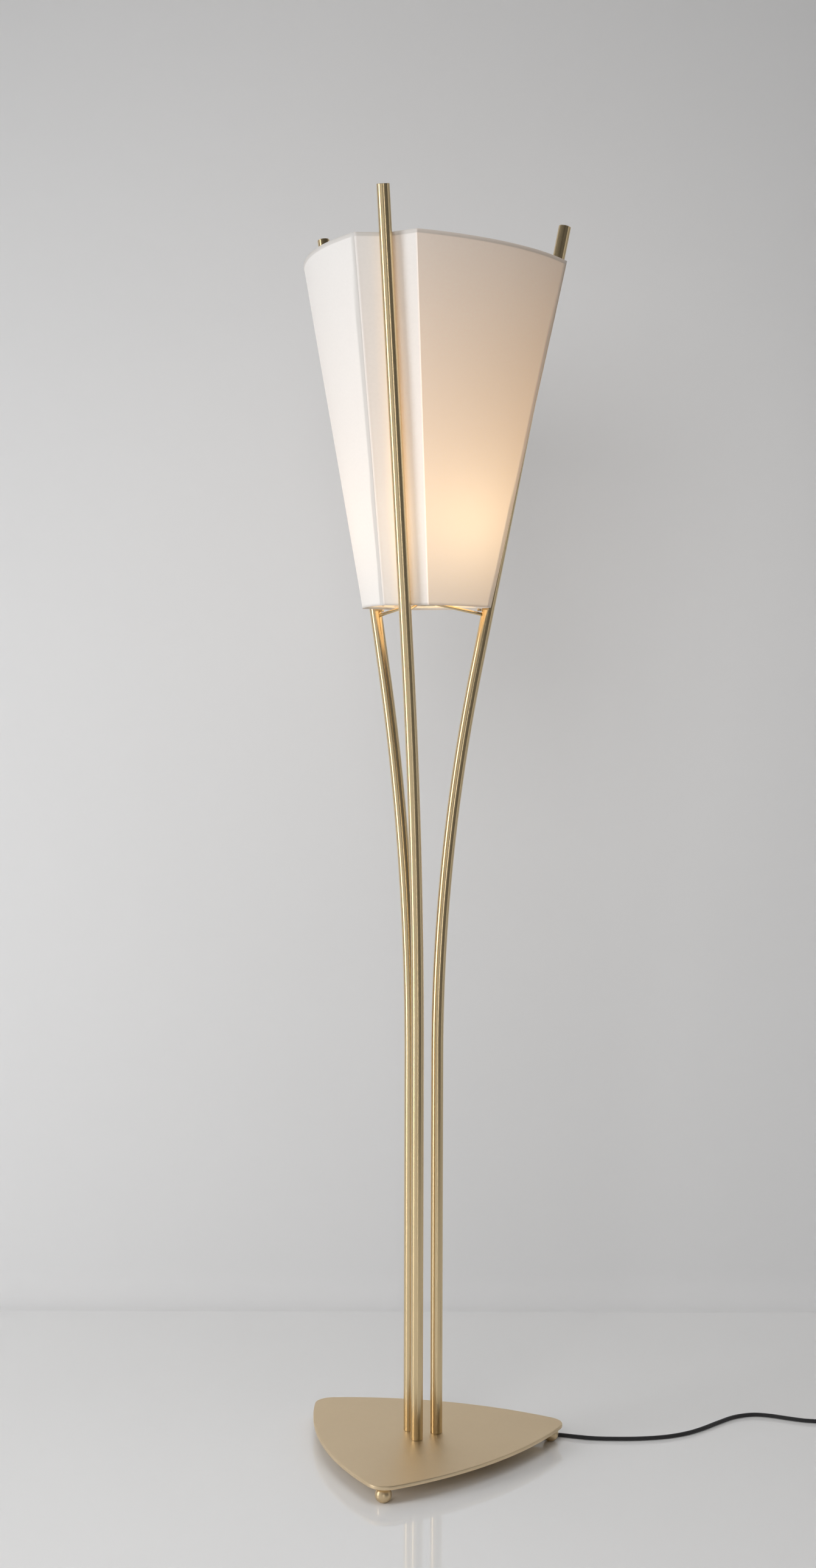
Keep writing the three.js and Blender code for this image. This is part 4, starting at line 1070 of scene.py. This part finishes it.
hubProfile = [(0.005, 1.1125), (0.0158, 1.1125), (0.0164, 1.1128), (0.0165, 1.1134), (0.0165, 1.1248),
              (0.0162, 1.1256), (0.0155, 1.126), (0.005, 1.126)]
hub = loftedSolid("hub", lamped(turnedRings(hubProfile, 56)), closeRows=True)
finishPiece(hub, rodBrass, "stand", "arm_brass", "arm_hub")
print("arms and hub made")


holderLow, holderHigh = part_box("lampholder_body")
hz = holderLow.z
floorZ = hz + 0.017
holderCorners = [(0.005, hz), (0.012, hz), (0.014, hz + 0.003), (0.014, hz + 0.012), (0.0195, floorZ),
                 (0.0195, holderHigh.z), (0.016, holderHigh.z), (0.016, floorZ), (0.005, floorZ)]
holderSkin = turnedRings(roundedProfile(holderCorners, 0.0012), 56)
holder = loftedSolid("holder_body", lamped(holderSkin), closeRows=True)
finishPiece(holder, holderPlastic, "stand", "holder_plastic", "lampholder_body")


# A thin wall whose surface rises and falls as a screw thread: r + depth sin(2 pi z / pitch - angle).
def threadedWall(name, innerR, outerR, low, high, pitch, depth, turns=60):
    z = np.linspace(low, high, 48)
    a = turnAngles(turns)
    fade = np.clip(np.minimum(z - low, high - z) / (0.6 * pitch), 0, 1)[:, None]
    wave = depth * fade * np.sin(2 * np.pi * z[:, None] / pitch - a[None, :])
    height = np.broadcast_to(z[:, None], wave.shape)
    walls = [np.stack([(r + wave) * np.cos(a), (r + wave) * np.sin(a), height], 2) for r in (outerR, innerR)]
    return loftedSolid(name, lamped(np.concatenate([walls[0], walls[1][::-1]])), closeRows=True)


shellLow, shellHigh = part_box("lampholder_shell")
shell = threadedWall("holder_shell", 0.01462, 0.01492, shellLow.z, shellHigh.z, 0.00363, 0.00035)
finishPiece(shell, brightBrass, "stand", "fitting_brass", "lampholder_shell")

capLow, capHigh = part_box("bulb_cap")


# The bulb's screw cap: a threaded drum that tapers to its insulated end.
def capRings(low, high, radius=0.0129, depth=0.0004, pitch=0.00363):
    z = np.linspace(low, high, 60)
    a = turnAngles(60)
    taper = np.clip((z - low) / 0.0028, 0, 1)
    r = (radius - 0.0022 * (1 - taper) ** 1.6)[:, None]
    fade = np.clip(np.minimum(z - low - 0.003, high - z - 0.003) / 0.003, 0, 1)[:, None]
    r = r + depth * fade * np.sin(2 * np.pi * z[:, None] / pitch - a[None, :])
    return np.stack([r * np.cos(a), r * np.sin(a), np.broadcast_to(z[:, None], r.shape)], 2)


cap = loftedSolid("screw_cap", lamped(capRings(capLow.z, capHigh.z)))
finishPiece(cap, capMetal, "bulb", "bulb_metal", "bulb_cap")

glassLow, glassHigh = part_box("bulb_glass")
bulbCentre = glassHigh.z - 0.03


# A globe joined to its neck by a smooth blend: the radius eases from the neck to the globe's own.
def glassProfile(neckR=0.0135, globeR=0.03):
    z = np.linspace(glassLow.z, glassHigh.z, 64)
    globe = np.sqrt(np.clip(globeR**2 - (z - bulbCentre) ** 2, 0, None))
    share = np.clip((z - glassLow.z) / (bulbCentre - glassLow.z), 0, 1)
    neck = neckR + (globeR - neckR) * (share**1.6 * (1.6 - 0.6 * share))
    r = np.where(z < bulbCentre, neck, globe)
    return np.stack([r, z], 1)


bulb = loftedSolid("bulb", lamped(turnedRings(glassProfile(), 56)))


# Frosted glass, lit: a warm white that is fuller at the globe than at the neck.
def makeBulbGlass():
    material, tree, shader = emptyMaterial("bulbGlass")
    place = objectPlace(tree)
    frost = noise(tree, place, 900.0)
    parts = addNode(tree, "ShaderNodeSeparateXYZ")
    tree.links.new(place, parts.inputs[0])
    rise = addNode(tree, "ShaderNodeMapRange")
    rise.inputs["From Min"].default_value = glassLow.z
    rise.inputs["From Max"].default_value = bulbCentre
    rise.inputs["To Min"].default_value = 0.35
    tree.links.new(parts.outputs["Z"], rise.inputs["Value"])
    tint = addNode(tree, "ShaderNodeVectorMath", operation="SCALE")
    tint.inputs[0].default_value = (1.0, 0.8, 0.52)
    tree.links.new(rise.outputs["Result"], tint.inputs["Scale"])
    tree.links.new(tint.outputs[0], shader.inputs["Emission Color"])
    shader.inputs["Emission Strength"].default_value = 4.0
    tone = blendColours(tree, frost, (0.9, 0.86, 0.78), (0.97, 0.94, 0.88))
    tree.links.new(tone, shader.inputs["Base Color"])
    shader.inputs["Roughness"].default_value = 0.35
    return material


finishPiece(bulb, makeBulbGlass(), "bulb", "bulb_glass", "bulb_glass")
print("holder and bulb made")


keptFinishes = {
    "fitting_brass": brightBrass,
    "fixing_steel": zincSteel,
    "bulb_metal": capMetal,
    "holder_plastic": holderPlastic,
    "wire_cover": wireCover,
    "shade_wire": wirePaint,
    "cord_textile": cordCloth,
    "black_plastic": blackPlastic,
    "pin_metal": pinMetal,
    "plate_brass": plateBrass,
    "ball_brass": ballBrass,
    "tube_brass": rodBrass,
    "arm_brass": rodBrass,
    "shade_fabric": shadeCloth,
}
nodeSlots = {entry["node"]: entry["material_slot"] for entry in frame["record"]["subparts"]}
for name, node in frame["nodes"].items():
    finish = keptFinishes.get(nodeSlots[name], zincSteel)
    for socket in node.material_slots:
        socket.material = finish
print("carried-over nodes finished")


roomSettings = {
    "wallBehind": 0.69,
    "halfWidth": 4.0,
    "height": 4.5,
    "front": -6.0,
    "curve": 0.05,
    "floorBehind": -0.002,  # the floor beyond the wall lies a little lower
    "floor": ((0.9, 0.9, 0.898), 0.05),  # tone and roughness
    "wall": ((0.82, 0.82, 0.822), 0.8),
}


# Points given to the right of, and beyond, the lamp as the camera sees it, turned into the part's frame.
def cameraTurned(points):
    return placed(np.asarray(points, float), cameraSettings["azimuth"], (0, axisY, 0))


def makeRoomSurface(name, tone, roughness, seeThrough):
    material, tree, shader = emptyMaterial(name)
    place = objectPlace(tree)
    soft = placeGroup(tree, handling, place, Scale=1.2)
    tree.links.new(blendColours(tree, soft.outputs["Mask"], tone, tuple(1.015 * v for v in tone)),
                   shader.inputs["Base Color"])
    shader.inputs["Roughness"].default_value = roughness
    if seeThrough:
        back = addNode(tree, "ShaderNodeNewGeometry").outputs["Backfacing"]
        clear = addNode(tree, "ShaderNodeBsdfTransparent")
        mix = addNode(tree, "ShaderNodeMixShader")
        tree.links.new(back, mix.inputs[0])
        tree.links.new(shader.outputs[0], mix.inputs[1])
        tree.links.new(clear.outputs[0], mix.inputs[2])
        tree.links.new(mix.outputs[0], tree.nodes["Material Output"].inputs["Surface"])
    return material


# A grid of points given as the camera sees them becomes part of the room, not of the lamp.
def stageSheet(name, grid, material):
    piece = meshObject(name, cameraTurned(grid), quadFaces(*grid.shape[:2], False, False).tolist())
    piece.data.materials.append(material)
    return piece


# A floor and a wall behind the lamp that meet in a small curve, as one strip.
def makeRoom(s):
    q = np.linspace(0, np.pi / 2, 8)[1:-1]
    y = s["wallBehind"]
    c = s["curve"]
    floorLine = [(s["front"], 0.0), (y - c, 0.0)]
    curveLine = [(y - c + c * math.sin(a), c - c * math.cos(a)) for a in q]
    wallLine = [(y, c), (y, s["height"])]
    behindLine = [(y - c, s["floorBehind"]), (-s["front"], s["floorBehind"])]
    for name, line, material in (
        ("floor_behind", behindLine, makeRoomSurface("floorBehind", *s["floor"], False)),
        ("floor", floorLine, makeRoomSurface("floorSurface", *s["floor"], False)),
        ("wall", [floorLine[-1], *curveLine, *wallLine], makeRoomSurface("wallSurface", *s["wall"], True)),
    ):
        grid = np.array([[(x, *spot) for x in (-s["halfWidth"], s["halfWidth"])] for spot in line])
        stageSheet(name, grid, material)


makeRoom(roomSettings)

flagSettings = {"at": (1.25, -1.25), "turn": 45.0, "half": 0.85, "low": 0.05, "high": 2.3, "bow": 0.05,
                "finish": ((0.2, 0.2, 0.2), 0.9)}


# A grey card out of the view, to the front right, that keeps that side of the lamp in shade. It bows by
# bow (1 - (across / half) squared).
def makeFlag(s):
    across = np.linspace(-s["half"], s["half"], 9)
    bow = s["bow"] * (1 - (across / s["half"]) ** 2)
    flat = np.stack([across, bow], 1)
    grid = np.array([levelRing(flat, s["low"]), levelRing(flat, s["high"])])
    card = placed(grid, s["turn"], (*s["at"], 0))
    stageSheet("flag", card, makeRoomSurface("flagCloth", *s["finish"], False)).visible_camera = False


makeFlag(flagSettings)

# Lights that shade the cloth, wall and floor, and long dim panels that only the polished metal mirrors.
lightSettings = {
    "key": {"place": (-2.37, -1.09, 0.88), "aim": (0, 0.1, 0.8), "size": (1.0, 1.8), "power": 20.0,
            "spread": 130.0, "mirrored": False, "tint": (0.985, 0.99, 1.0)},
    "front": {"place": (-0.7, -3.1, 1.9), "aim": (0, 0, 0.9), "size": (1.7, 1.2), "power": 27.0,
              "mirrored": False, "tint": (1.0, 0.99, 0.98)},
    "top": {"place": (0.2, -1.0, 3.2), "aim": (0.2, -0.5, 0.0), "size": (2.0, 2.0), "power": 8.5,
            "spread": 100.0, "mirrored": False, "tint": (1.0, 1.0, 1.0)},
    "sideGleam": {"place": (-2.5, -0.75, 1.1), "aim": (0, 0, 1.1), "size": (0.8, 2.6), "power": 24.0,
                  "mirrored": True, "tint": (1.0, 0.98, 0.95)},
    "frontGleam": {"place": (0.35, -3.3, 0.6), "aim": (0, 0, 0.6), "size": (0.35, 1.3), "power": 5.0,
                   "mirrored": True, "tint": (1.0, 0.98, 0.95)},
    "leftPanel": {"place": (-1.6, -2.5, 1.2), "aim": (0, 0, 1.2), "size": (2.0, 2.4), "power": 7.0,
                  "mirrored": True, "tint": (1.0, 0.99, 0.97)},
    "rightPanel": {"place": (2.4, -0.2, 1.2), "aim": (0, 0, 1.2), "size": (1.1, 2.4), "power": 3.6,
                   "mirrored": True, "tint": (1.0, 0.99, 0.97)},
}
for name, s in lightSettings.items():
    data = bpy.data.lights.new(name, "AREA")
    data.shape = "RECTANGLE"
    data.size, data.size_y = s["size"]
    data.energy = s["power"]
    data.spread = math.radians(s.get("spread", 180.0))
    data.color = s["tint"]
    lamp = bpy.data.objects.new(name, data)
    bpy.context.scene.collection.objects.link(lamp)
    lamp.visible_camera = False
    lamp.visible_diffuse = not s["mirrored"]
    lamp.visible_glossy = s["mirrored"]
    place, aim = (Vector(cameraTurned(np.array(p))) for p in (s["place"], s["aim"]))
    lamp.location = place
    lamp.rotation_mode = "QUATERNION"
    lamp.rotation_quaternion = (aim - place).to_track_quat("-Z", "Y")

# the room's own light is weaker from the right: base + slope times the direction's share to the right
roomLight = {"base": 0.125, "slope": -0.06, "towards": (0.87, -0.5, 0.0)}
world = bpy.data.worlds.new("room")
bpy.context.scene.world = world
world.use_nodes = True
sky = world.node_tree
facing = addNode(sky, "ShaderNodeVectorMath", operation="DOT_PRODUCT")
sky.links.new(addNode(sky, "ShaderNodeTexCoord").outputs["Generated"], facing.inputs[0])
facing.inputs[1].default_value = roomLight["towards"]
sloped = times(sky, facing.outputs["Value"], roomLight["slope"])
backdrop = sky.nodes["Background"]
sky.links.new(plus(sky, sloped, roomLight["base"]), backdrop.inputs["Color"])
backdrop.inputs["Strength"].default_value = 1.0
bpy.context.scene.view_settings.view_transform = "Standard"
print("room and lights made")
